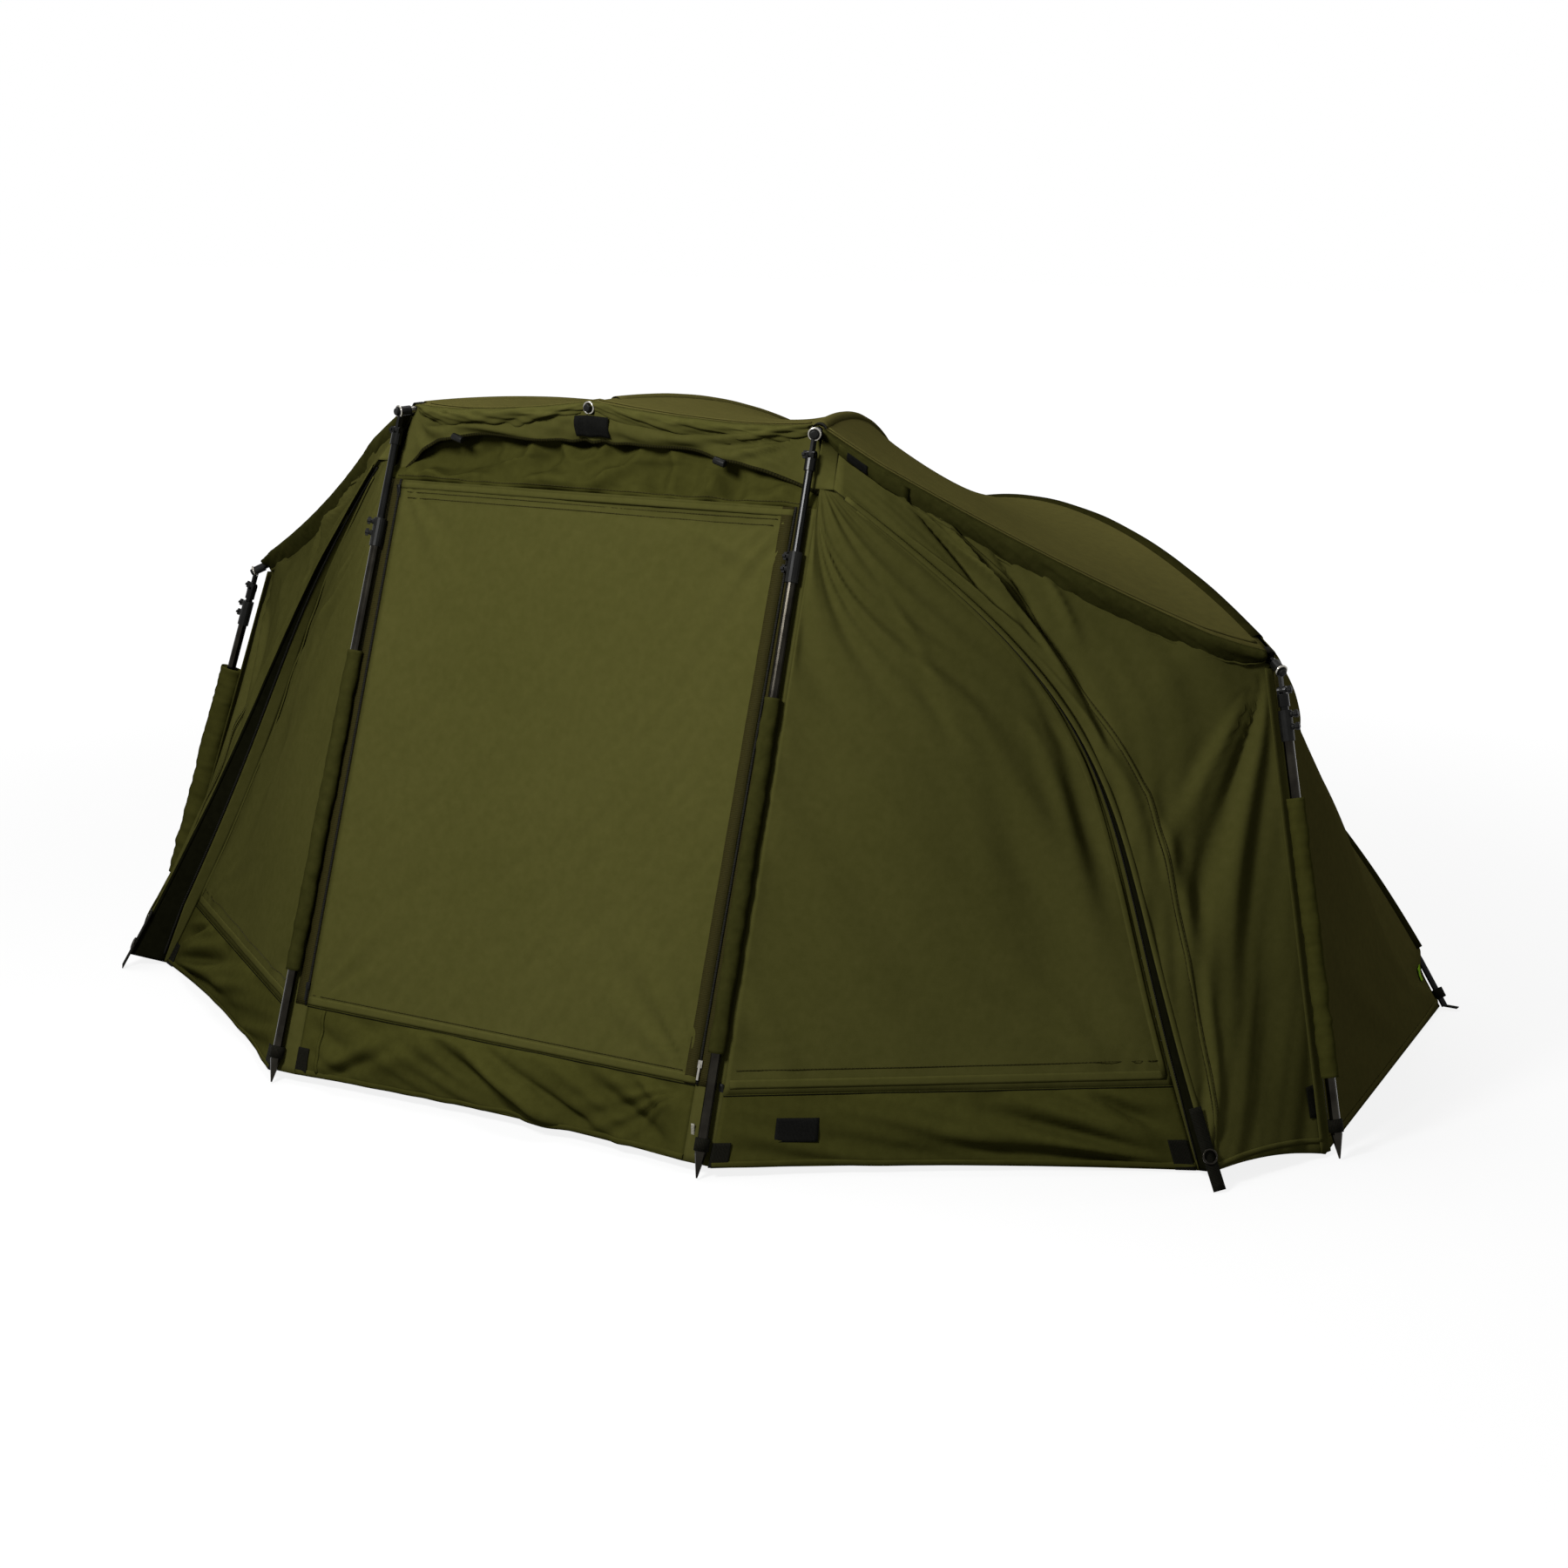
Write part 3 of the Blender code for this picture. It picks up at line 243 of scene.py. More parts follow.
def add_node(tree, kind, inputs=None, **settings):
    """Adds a node with its settings, and sets or links its sockets."""
    made = tree.nodes.new(kind)
    for key, value in settings.items():
        setattr(made, key, value)
    set_sockets(made, inputs or {})
    return made


def start_material(name):
    """A new material, its tree, its shader and the coordinates that its patterns lie on."""
    material = bpy.data.materials.new(name)
    material.use_nodes = True
    tree = material.node_tree
    return material, tree, tree.nodes["Principled BSDF"], add_node(tree, "ShaderNodeTexCoord")


def complete(tree, shader, tone, colours, relief, rough, gleam, wear=None):
    """Joins up what all the materials share: a tone from dark to light, a relief, a roughness and a gleam.
    The roughness is a range where it follows the wear."""
    ramp = add_node(tree, "ShaderNodeValToRGB", {"Fac": tone})
    for stop, position, colour in zip(ramp.color_ramp.elements, TONE_STOPS, colours):
        stop.position = position
        stop.color = srgb(colour)
    if wear:
        low, high = rough
        rough = (add_node(tree, "ShaderNodeMapRange", {"Value": wear, "To Min": low, "To Max": high}), 0)
    set_sockets(shader, {"Base Color": (ramp, "Color"), "Normal": (relief, 0), "Roughness": rough,
                         "Specular IOR Level": gleam})


def average(tree, first, second):
    """The mean of two patterns."""
    total = add_node(tree, "ShaderNodeMath", {0: first, 1: second}, operation="ADD")
    return add_node(tree, "ShaderNodeMath", {0: (total, 0), 1: 0.5}, operation="MULTIPLY")


def coated_cloth(name, light, dark, rough, dent=0.006):
    """Polyester with a coating on its inside: a fine plain weave that shows only close to, a roughness that
    varies at random with no specular gloss, and small crumples. Its threads are drawn 2 mm wide, coarser than
    real."""
    material, tree, shader, place = start_material(name)
    where = (place, "Object")
    patches = add_node(tree, "ShaderNodeTexNoise", {"Vector": where, "Scale": TONES, "Detail": 3.0})
    specks = add_node(tree, "ShaderNodeTexNoise", {"Vector": where, "Scale": SPECKS, "Detail": 2.0})
    spread = add_node(tree, "ShaderNodeMapping", {"Vector": (place, "UV"), "Scale": [1.0 / THREAD_WIDTH] * 3})
    warp, weft = [
        add_node(tree, "ShaderNodeTexWave", {"Vector": (spread, 0), "Scale": UNIT_WAVE}, bands_direction=way)
        for way in "XY"
    ]
    weave = add_node(tree, "ShaderNodeMath", {0: (warp, "Fac"), 1: (weft, "Fac")}, operation="MULTIPLY")
    coarse = add_node(tree, "ShaderNodeTexNoise", {"Vector": where, "Scale": DENTS, "Detail": 5.0})
    lumps = add_node(tree, "ShaderNodeBump", {"Height": (coarse, "Fac"), "Strength": 0.5, "Distance": dent})
    threads = add_node(
        tree, "ShaderNodeBump",
        {"Height": (weave, 0), "Strength": 0.3, "Distance": 0.0002, "Normal": (lumps, 0)},
    )
    tone = average(tree, (patches, "Fac"), (specks, "Fac"))
    gloss = (rough - 0.05, rough + 0.07)
    complete(tree, shader, (tone, 0), (dark, light), threads, gloss, 0.0, (specks, "Fac"))
    return material


def anodised_metal(name, light, dark, rough, metal, gleam=0.5):
    """Anodised or plated metal: a long bright highlight, fine lines from drawing, and light wear."""
    material, tree, shader, place = start_material(name)
    where = (place, "Object")
    stretch = add_node(tree, "ShaderNodeMapping", {"Vector": where, "Scale": DRAWN_LINES})
    lines = add_node(tree, "ShaderNodeTexNoise", {"Vector": (stretch, 0), "Scale": 1.0, "Detail": 2.0})
    wear = add_node(tree, "ShaderNodeTexNoise", {"Vector": where, "Scale": METAL_WEAR, "Detail": 4.0})
    relief = add_node(tree, "ShaderNodeBump", {"Height": (lines, "Fac"), "Strength": 0.1, "Distance": 0.0002})
    worn = (wear, "Fac")
    complete(tree, shader, worn, (dark, light), relief, (rough - 0.04, rough + 0.08), gleam, worn)
    set_sockets(shader, {"Metallic": metal})
    return material


def moulded(name, light, dark, rough):
    """Injection moulded nylon with a spark-eroded grain of about 1 mm, a little shinier where handled."""
    material, tree, shader, place = start_material(name)
    where = (place, "Object")
    grit = add_node(tree, "ShaderNodeTexNoise", {"Vector": where, "Scale": GRAINS, "Detail": 2.0})
    wear = add_node(tree, "ShaderNodeTexNoise", {"Vector": where, "Scale": PLASTIC_WEAR, "Detail": 3.0})
    relief = add_node(tree, "ShaderNodeBump", {"Height": (grit, "Fac"), "Strength": 0.25, "Distance": 0.0002})
    worn = (wear, "Fac")
    complete(tree, shader, worn, (dark, light), relief, (rough - 0.06, rough + 0.08), 0.10, worn)
    return material


def ribbed_tape(name, light, dark, pitch, rough):
    """Woven tape: ribs across its length, one every pitch, as on webbing, zip tape, coils and stitches."""
    material, tree, shader, place = start_material(name)
    spread = add_node(tree, "ShaderNodeMapping", {"Vector": (place, "UV"), "Scale": [1.0 / pitch] * 3})
    ribs = add_node(
        tree, "ShaderNodeTexWave",
        {"Vector": (spread, 0), "Scale": UNIT_WAVE, "Distortion": 0.6}, bands_direction="X",
    )
    fuzz = add_node(tree, "ShaderNodeTexNoise", {"Vector": (place, "Object"), "Scale": FUZZ, "Detail": 3.0})
    half = average(tree, (ribs, "Fac"), (fuzz, "Fac"))
    relief = add_node(tree, "ShaderNodeBump", {"Height": (half, 0), "Strength": 0.6, "Distance": pitch * 0.3})
    complete(tree, shader, (half, 0), (dark, light), relief, rough, 0.02)
    return material


COVER = coated_cloth("coated_polyester_olive", "#504e27", "#484721", 0.50)
# A darker copy of the cover cloth for painted shade: the header under the peak, the skirts with their hems,
# and the outer pole sleeves
SOFT_SHADE_CLOTH = coated_cloth("coated_polyester_soft_painted_shade", "#45441e", "#3c3b18", 0.46, dent=0.010)
ROOF = coated_cloth("coated_polyester_roof", "#58532b", "#4f4b27", 0.48)
# A very dark copy of the cover cloth: painted shade on the outer and rear rib sleeves
DEEP_SHADE_CLOTH = coated_cloth("coated_polyester_deep_painted_shade", "#2b2910", "#201f0b", 0.50, dent=0.010)
# A darker copy of the cover cloth for painted shade: the inner pole sleeves, the corner lips and the tab on
# the right lip
MID_SHADE_CLOTH = coated_cloth("coated_polyester_mid_painted_shade", "#3b3a1a", "#2d2d12", 0.48, dent=0.012)
# Nearly black cloth for painted shadow: the gap beside the wings' free edges and the lines under the doors'
# feet
SHADOW_GAP_CLOTH = coated_cloth("coated_polyester_painted_shadow_gap", "#1c1c10", "#131309", 0.60)
TUBE = anodised_metal("anodised_black_aluminium", "#121210", "#080807", 0.16, 0.0, 0.09)
LOWER_TUBE = anodised_metal("anodised_graphite_aluminium", "#2a2823", "#1b1916", 0.20, 1.0)
BRIGHT_TUBE = anodised_metal("anodised_grey_aluminium", "#a8a49c", "#8f8b84", 0.30, 1.0)
NICKEL = anodised_metal("nickel_plated_zinc", "#b5b2aa", "#827f77", 0.18, 1.0)
PLASTIC = moulded("moulded_nylon_black", "#191917", "#0d0d0c", 0.42)
WEBBING = ribbed_tape("webbing_black", "#1f1e18", "#0e0e0a", 0.0024, 0.75)
# Zip tape drawn wide and dark: real tape, with painted shade from the inner poles and their sleeves
ZIP_TAPE_AND_SHADE = ribbed_tape("zip_tape_with_painted_shade", "#383419", "#292610", 0.0030, 0.65)
ZIP_COIL = ribbed_tape("zip_coil_black", "#2b2a25", "#070706", 0.0030, 0.35)
THREAD = ribbed_tape("sewing_thread_olive", "#3c391b", "#2e2c14", 0.0070, 0.6)
# A bound hem drawn dark: under the peak's arch its tone is painted shade
HEM_AND_SHADE = ribbed_tape("bound_hem_with_painted_shade", "#26240f", "#191808", 0.0060, 0.6)
PATCH = ribbed_tape("woven_patch_black", "#1b1b19", "#0b0b0a", 0.0020, 0.7)
GLOW = ribbed_tape("webbing_bright_green", "#9fd61c", "#5d8a12", 0.0030, 0.6)
PALE = ribbed_tape("webbing_pale", "#b8b4a4", "#7d7a6c", 0.0024, 0.7)


# Meshes

class Panel:
    """A piece of cloth: a surface of two shares, and folds that lift it along its normals.

    The folds fade out within a distance of the edges that are chosen, left, right, low and high."""

    def __init__(self, surface, outward, folds=(), fades=(1, 1, 1, 1), edge=0.05):
        self.surface = surface
        self.outward = outward
        self.folds = folds
        self.fades = fades
        self.edge = edge
        self.turn = 1.0
        self.width, self.length = self.spans()
        if callable(outward):
            outward = outward(surface(0.5, 0.5))
        if self.normal(0.5, 0.5).dot(outward) < 0.0:
            self.turn = -1.0

    def spans(self):
        """The mean width and length in metres."""
        steps = 8
        width = length = 0.0
        for row in range(steps + 1):
            line = [self.surface(column / steps, row / steps) for column in range(steps + 1)]
            width += sum((b - a).length for a, b in zip(line, line[1:])) / (steps + 1)
            line = [self.surface(row / steps, column / steps) for column in range(steps + 1)]
            length += sum((b - a).length for a, b in zip(line, line[1:])) / (steps + 1)
        return width, length

    def normal(self, across, along):
        step = 0.004
        x_low, x_high = max(across - step, 0.0), min(across + step, 1.0)
        y_low, y_high = max(along - step, 0.0), min(along + step, 1.0)
        ahead = self.surface(x_high, along) - self.surface(x_low, along)
        up = self.surface(across, y_high) - self.surface(across, y_low)
        facing = ahead.cross(up)
        if facing.length < 1e-12:
            return self.normal(0.5 + (across - 0.5) * 0.98, 0.5 + (along - 0.5) * 0.98)
        return facing.normalized() * self.turn

    def lift(self, across, along):
        if not self.folds:
            return 0.0
        fade = 1.0
        for wanted, distance in zip(self.fades, (across, 1.0 - across, along, 1.0 - along)):
            if wanted:
                fade *= smooth_step(distance / self.edge)
        if fade == 0.0:
            return 0.0
        x, y = across * self.width, along * self.length
        return fade * sum(fold(x, y, self.width, self.length) for fold in self.folds)

    def at(self, across, along, over=0.0):
        raised = self.lift(across, along) + over
        place = self.surface(across, along)
        return place + self.normal(across, along) * raised if raised else place

    def mirrored(self):
        def flipped(across, along):
            return mirrored(self.surface(across, along))
        return Panel(flipped, mirrored(self.outward), self.folds, self.fades, self.edge)


def cloth(name, panel, columns, rows, material, body="tent", nodes=(), thickness=CLOTH, held=None,
          wrap=False):
    """A panel's mesh, as a grid with UVs in metres and the cloth's thickness on its inner side."""
    shape = bmesh.new()
    bmesh.ops.create_grid(shape, x_segments=columns, y_segments=rows, size=0.5)
    layer = shape.loops.layers.uv.new("cloth")
    for face in shape.faces:
        for loop in face.loops:
            loop[layer].uv = ((loop.vert.co.x + 0.5) * panel.width, (loop.vert.co.y + 0.5) * panel.length)
    for corner in shape.verts:
        corner.co = panel.at(corner.co.x + 0.5, corner.co.y + 0.5) + SHIFT
    shape.normal_update()
    middle = shape.faces[:][(rows // 2) * columns + columns // 2]
    outward = panel.outward
    if callable(outward):
        outward = outward(middle.calc_center_median() - SHIFT)
    if middle.normal.dot(outward) < 0.0:
        bmesh.ops.reverse_faces(shape, faces=shape.faces)
    area = sum(face.calc_area() for face in shape.faces)
    if wrap:
        bmesh.ops.remove_doubles(shape, verts=shape.verts, dist=MERGE)
    piece = finish_piece(name, shape, material, body)
    skin = piece.modifiers.new("thickness", "SOLIDIFY")
    skin.thickness = thickness
    skin.offset = -1.0
    if nodes:
        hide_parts(*nodes)
    return piece


def finish_piece(name, shape, material, body):
    mesh = bpy.data.meshes.new(name)
    shape.to_mesh(mesh)
    shape.free()
    mesh.shade_smooth()
    mesh.materials.append(material)
    piece = bpy.data.objects.new(name, mesh)
    bpy.context.scene.collection.objects.link(piece)
    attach(piece, body)
    return piece


def tape(name, path, facing, width, material, steps, crown=0.0, over=SEWN_OVER, thickness=CLOTH,
         body="tent", wrap=False):
    """A narrow strip along a path of points, square to the directions that it faces."""
    rows = 4 if crown else 1

    def surface(across, along):
        step = 0.5 / steps
        ahead = path(min(across + step, 1.0)) - path(max(across - step, 0.0))
        out = facing(across).normalized()
        side = out.cross(ahead).normalized()
        rise = over + thickness + crown * hump(along)
        return path(across) + side * (width * (along - 0.5)) + out * rise
    strip = Panel(surface, facing(0.5))
    return cloth(name, strip, steps, rows, material, body=body, thickness=thickness, wrap=wrap)


def sewn(name, panel, route, width, material, steps, *rises, **more):
    """A strip sewn to a panel along a route of its shares, following its folds."""
    def path(share):
        return panel.at(*route(share))

    def facing(share):
        return panel.normal(*route(share))
    return tape(name, path, facing, width, material, steps, *rises, **more)


def patch(name, panel, middle, width, height, material, over=0.0010, rest=None):
    """A rectangle sewn flat on a panel, round a place given by its shares, as high as its place of rest."""
    rest = rest or middle

    def surface(across, along):
        x = middle[0] + (across - 0.5) * width / panel.width
        y = middle[1] + (along - 0.5) * height / panel.length
        raised = PATCH_GIVE_SHARE * panel.lift(x, y) + (1.0 - PATCH_GIVE_SHARE) * panel.lift(*rest)
        raised += over + PATCH_CLEAR
        return panel.surface(x, y) + panel.normal(x, y) * raised
    return cloth(name, Panel(surface, panel.outward), 12, 8, material, thickness=PATCH_THICKNESS)


def band(name, middle, axis, radius, width):
    """A band of webbing sewn closed round a tube."""
    first = axis.orthogonal().normalized()
    second = axis.cross(first)

    def outward(share):
        turn = 2.0 * math.pi * (share % 1.0)
        return first * math.cos(turn) + second * math.sin(turn)

    def path(share):
        return middle + outward(share) * radius
    return tape(name, path, outward, width, WEBBING, 24, wrap=True)


def between(start, end):
    """A straight path from one place to another."""
    return lambda share: start.lerp(end, share)


def towards(direction):
    """The same direction all along a tape."""
    return lambda share: direction


def straight(first, second):
    """A straight route from one pair of shares to another."""
    def route(share):
        return tuple(a + (b - a) * share for a, b in zip(first, second))
    return route


def shifted(route, shift):
    """A route moved across its panel by a share."""
    return lambda share: (route(share)[0] + shift, route(share)[1])


def through(*stops):
    """A smooth route through pairs of shares."""
    def route(share):
        reach = share * (len(stops) - 1)
        index = min(int(reach), len(stops) - 2)
        t = reach - index
        before = stops[max(index - 1, 0)]
        first, second = stops[index], stops[index + 1]
        after = stops[min(index + 2, len(stops) - 1)]
        return tuple(
            0.5 * (2.0 * b + (c - a) * t + (2.0 * a - 5.0 * b + 4.0 * c - d) * t ** 2
                   + (3.0 * b - a - 3.0 * c + d) * t ** 3)
            for a, b, c, d in zip(before, first, second, after)
        )
    return route


def aim(axis, place):
    """The matrix that turns local Z onto an axis and moves to a place of the frame."""
    return Matrix.Translation(place + SHIFT) @ axis.to_track_quat("Z", "Y").to_matrix().to_4x4()


def ring(name, place, axis, radius, wire, material):
    """An eyelet or a ring: a circle spun once round its axis."""
    shape = bmesh.new()
    bmesh.ops.create_circle(shape, segments=10, radius=wire)
    upright = Matrix.Rotation(math.radians(90.0), 4, "X")
    bmesh.ops.transform(shape, matrix=Matrix.Translation((radius, 0.0, 0.0)) @ upright, verts=shape.verts)
    bmesh.ops.spin(
        shape, geom=shape.verts[:] + shape.edges[:], angle=2.0 * math.pi, steps=28, axis=(0.0, 0.0, 1.0),
        cent=(0.0, 0.0, 0.0), use_merge=True,
    )
    bmesh.ops.remove_doubles(shape, verts=shape.verts, dist=MERGE)
    bmesh.ops.recalc_face_normals(shape, faces=shape.faces)
    bmesh.ops.transform(shape, matrix=aim(axis, place), verts=shape.verts)
    return finish_piece(name, shape, material, "tent")


def stud(name, place, axis, radius, length):
    """A short round pin with rounded ends, such as a toggle or a tube's end cap."""
    shape = bmesh.new()
    bmesh.ops.create_cone(shape, cap_ends=True, segments=20, radius1=radius, radius2=radius, depth=length)
    rims = [edge for edge in shape.edges if abs(edge.verts[0].co.z - edge.verts[1].co.z) < MERGE]
    bmesh.ops.bevel(
        shape, geom=rims, offset=radius * STUD_ROUND_SHARE, segments=3, profile=0.5, affect="EDGES",
        material=-1,
    )
    bmesh.ops.transform(shape, matrix=aim(axis, place), verts=shape.verts)
    return finish_piece(name, shape, PLASTIC, "tent")


# Folds. Each gives a height in metres for a place on a panel of a width and a length

def fan(corner, heading, spread, count, reach, height):
    """Folds that spread from one corner, as tension does, and die out with distance."""
    def lift(x, y, width, length):
        dx = x - corner[0] * width
        dy = y - corner[1] * length
        distance = math.hypot(dx, dy)
        turn = (math.degrees(math.atan2(dy, dx)) - heading + 180.0) % 360.0 - 180.0
        side = turn / spread
        if abs(side) >= 1.0:
            return 0.0
        window = math.cos(side * math.pi / 2.0) ** 2
        near = smooth_step(distance / (0.25 * reach))
        waves = math.cos(2.0 * math.pi * count * side)
        return height * window * near * math.exp(-(distance / reach) ** 2) * waves
    return lift


def crease(start, end, breadth, height):
    """One long fold between two places, both given as shares of the panel, which widens as it runs."""
    def lift(x, y, width, length):
        dx = (end[0] - start[0]) * width
        dy = (end[1] - start[1]) * length
        span = math.hypot(dx, dy)
        from_x = x - start[0] * width
        from_y = y - start[1] * length
        along = (from_x * dx + from_y * dy) / span ** 2
        if not 0.0 < along < 1.0:
            return 0.0
        away = (from_x * dy - from_y * dx) / span
        local = breadth * (0.35 + 0.65 * along)
        return height * math.sin(math.pi * along) * math.exp(-(away / local) ** 2)
    return lift


def dome(middle, reach, height):
    """A wide soft swelling, or a hollow where its height is below zero."""
    def lift(x, y, width, length):
        away = math.hypot(x - middle[0] * width, y - middle[1] * length) / reach
        return height * math.exp(-away * away)
    return lift


def streaks(angle, long, short, height, seed):
    """Long narrow wrinkles that all run at one angle."""
    cosine, sine = math.cos(math.radians(angle)), math.sin(math.radians(angle))

    def lift(x, y, width, length):
        along = (x * cosine + y * sine) / long
        across = (y * cosine - x * sine) / short
        return height * noise.noise(Vector((along, across, seed)))
    return lift


def crumple(size, height, seed):
    """Irregular dents with fairly sharp ridges between them."""
    def lift(x, y, width, length):
        place = Vector((x / size, y / size, seed))
        return height * (0.6 - 2.0 * abs(noise.noise(place))) + 0.4 * height * noise.noise(place * 2.3)
    return lift


# Ribs and the surfaces between them

class Rib:
    """A tube bowed out of the straight line between the hub and its tip, in a vertical plane."""

    def __init__(self, tip, bow):
        self.tip = tip
        chord = tip - HUB
        self.along = level(chord).normalized()
        self.side = UP.cross(self.along)
        self.bow = self.side.cross(chord).normalized() * -bow
        if self.bow.z < 0.0:
            self.bow.negate()
        self.start = CROWN_RADIUS / (chord + self.bow * 4.0).length

    def point(self, share):
        return HUB.lerp(self.tip, share) + self.bow * hump(share)

    def direction(self, share):
        return (self.tip - HUB + self.bow * (4.0 - 8.0 * share)).normalized()

    def normal(self, share):
        across = self.direction(share).cross(self.side)
        return across if across.z > 0.0 else -across

    def above(self, share, beside=0.0):
        return self.point(share) + self.normal(share) * ROOF_LIFT + self.side * beside


def make_ribs():
    ribs = {"front_centre": Rib(FRONT_TIP, FRONT_BOW)}
    for key, tip, bow in (
        ("inner", INNER_TIP, INNER_BOW),
        ("outer", OUTER_TIP, OUTER_BOW),
        ("rear", REAR_FOOT, REAR_BOW),
        ("back", BACK_FOOT, BACK_BOW),
    ):
        ribs[key + "_right"] = Rib(tip, bow)
        ribs[key + "_left"] = Rib(mirrored(tip), bow)
    return ribs


RIBS = make_ribs()


def between_ribs(first, second, across, along, sag_share):
    """A point of a roof panel: round the hub like a cone, and pulled straight at its free edge."""
    direct = first.lerp(second, across)
    radii = [level(point - HUB).length for point in (first, second)]
    angles = [math.atan2(point.x, HUB.y - point.y) for point in (first, second)]
    if abs(angles[1] - angles[0]) > math.pi:
        angles = [angle % (2.0 * math.pi) for angle in angles]
    radius = radii[0] + (radii[1] - radii[0]) * across
    angle = angles[0] + (angles[1] - angles[0]) * across
    round_point = Vector((radius * math.sin(angle), HUB.y - radius * math.cos(angle), direct.z))
    point = round_point.lerp(direct, smooth_step(along))
    chord = second - first
    outward = UP.lerp(level(point - HUB).normalized(), along / 2.0)
    outward -= chord * (outward.dot(chord) / chord.length_squared)
    return point - outward.normalized() * (chord.length * sag_share * hump(across))


def panel_edge(rib, along, end_share):
    """The seam over a rib. Where a rib stands on the ground, its bare end comes out above the cloth."""
    share = rib.start + (end_share - rib.start) * along
    under = FOOT_DIP * smooth_step((share - FOOT_BARE_SHARE) / 0.03) if end_share == 1.0 else 0.0
    return rib.above(share) - rib.normal(share) * under


def edge_reach(first, second, across, along, whole):
    """Draws a roof panel's front edge out to the line between the rib tips, clear of the ribs."""
    reach = (first.tip - first.point(EDGE_SHARE)).lerp(second.tip - second.point(EDGE_SHARE), across)
    return reach * (min(1.0, 2.0 * hump(whole)) * along ** 4)


def between_front_ribs(first, second, across, along, whole, middle_sag):
    """A point of a roof panel whose free edge is drawn out to the tips of two front ribs."""
    sag = middle_sag + (EDGE_SAG_SHARE - middle_sag) * along ** 4
    edges = [panel_edge(rib, along, EDGE_SHARE) for rib in (first, second)]
    return between_ribs(*edges, across, along, sag) + edge_reach(first, second, across, along, whole)


def front_roof_point(across, along):
    half = across * 2.0
    left, middle, right = RIBS["inner_left"], RIBS["front_centre"], RIBS["inner_right"]
    if half <= 1.0:
        return between_front_ribs(left, middle, half, along, across, FRONT_SAG_SHARE)
    return between_front_ribs(middle, right, half - 1.0, along, across, FRONT_SAG_SHARE)


def corner_roof_point(across, along):
    ribs = RIBS["inner_right"], RIBS["outer_right"]
    return between_front_ribs(*ribs, across, along, across, CORNER_SAG_SHARE)


def outward_at_pole():
    """The level direction that faces out of the tent at the right outer pole."""
    wing = OUTER_FOOT - level(PEG)
    side = level(REAR_FOOT) - OUTER_FOOT
    return (wing.normalized().cross(UP) + side.normalized().cross(UP)).normalized()


POLE_OUT = outward_at_pole()


def pole_seam(along):
    """The seam beside the right outer pole, from under the rib's end down to the ground."""
    top = RIBS["outer_right"].point(EDGE_SHARE) - UP * (ROOF_LIFT + CLOTH)
    foot = OUTER_FOOT + UP * HEM_LIFT
    return top.lerp(foot - POLE_OUT * SEAM_INSET, along)


def side_panel_edge(along):
    """The front edge of the side panel: over the outer rib, then down behind the outer pole."""
    rib = RIBS["outer_right"]
    turn = 1.0 if rib.side.dot(RIBS["rear_right"].along) > 0.0 else -1.0
    if along <= KNEE_SHARE:
        share = rib.start + (EDGE_SHARE - rib.start) * along / KNEE_SHARE
        beside = SEAM_BESIDE_RIB * smooth_step(along / KNEE_SHARE) ** 2
        return rib.above(share, turn * beside)
    down = (along - KNEE_SHARE) / (1.0 - KNEE_SHARE)
    return pole_seam(down) + rib.side * (turn * SEAM_BESIDE_RIB * (1.0 - down))


def ground_hem(point, across, along, edge_height):
    """Draws a panel's free edge down to the ground between its ribs."""
    drop = (edge_height - HEM_LIFT) * along ** 6 * min(1.0, 2.0 * hump(across))
    return Vector((point.x, point.y, max(point.z - drop, HEM_LIFT)))


def side_roof_point(across, along):
    """The right side panel, with a tight crease from the outer pole's tip to the rear rib's foot."""
    rear = RIBS["rear_right"]
    first = side_panel_edge(along)
    second = panel_edge(rear, along, 1.0)
    if along <= KNEE_SHARE:
        return between_ribs(first, second, across, along, ROOF_SAG_SHARE * (1.0 - along / KNEE_SHARE))
    down = (along - KNEE_SHARE) / (1.0 - KNEE_SHARE)
    corner = side_panel_edge(KNEE_SHARE)
    foot = panel_edge(rear, 1.0, 1.0)
    crease_point = corner.lerp(foot, down) - RIGHT * ((foot - corner).length * CREASE_SAG_SHARE * hump(down))
    if across <= down:
        point = first.lerp(crease_point, across / down)
    else:
        point = crease_point.lerp(second, (across - down) / (1.0 - down))
    return ground_hem(point, across, along, second.z)


def between_ground_ribs(first, second, across, along):
    """A point of a roof panel between two ribs that stand on the ground."""
    edges = [panel_edge(RIBS[key], along, 1.0) for key in (first, second)]
    point = between_ribs(*edges, across, along, ROOF_SAG_SHARE * (1.0 - along ** 4))
    return ground_hem(point, across, along, edges[1].z)


def rear_roof_point(across, along):
    return between_ground_ribs("rear_right", "back_right", across, along)


def back_roof_point(across, along):
    return between_ground_ribs("back_right", "back_left", across, along)


# The front walls

def front_plane_y(height):
    return FRONT_LEAN * height + POLE_TO_CLOTH


def wall_point(x, height, out=0.0):
    """A point of the leaning front wall, raised out of it."""
    return Vector((x, front_plane_y(height), height)) + WALL_OUT * out


def strip_edge_x(height):
    """The outer edge of the strip behind the right inner pole."""
    return INNER_FOOT.x + (INNER_TIP.x - INNER_FOOT.x) * height / INNER_TIP.z + STRIP_REACH


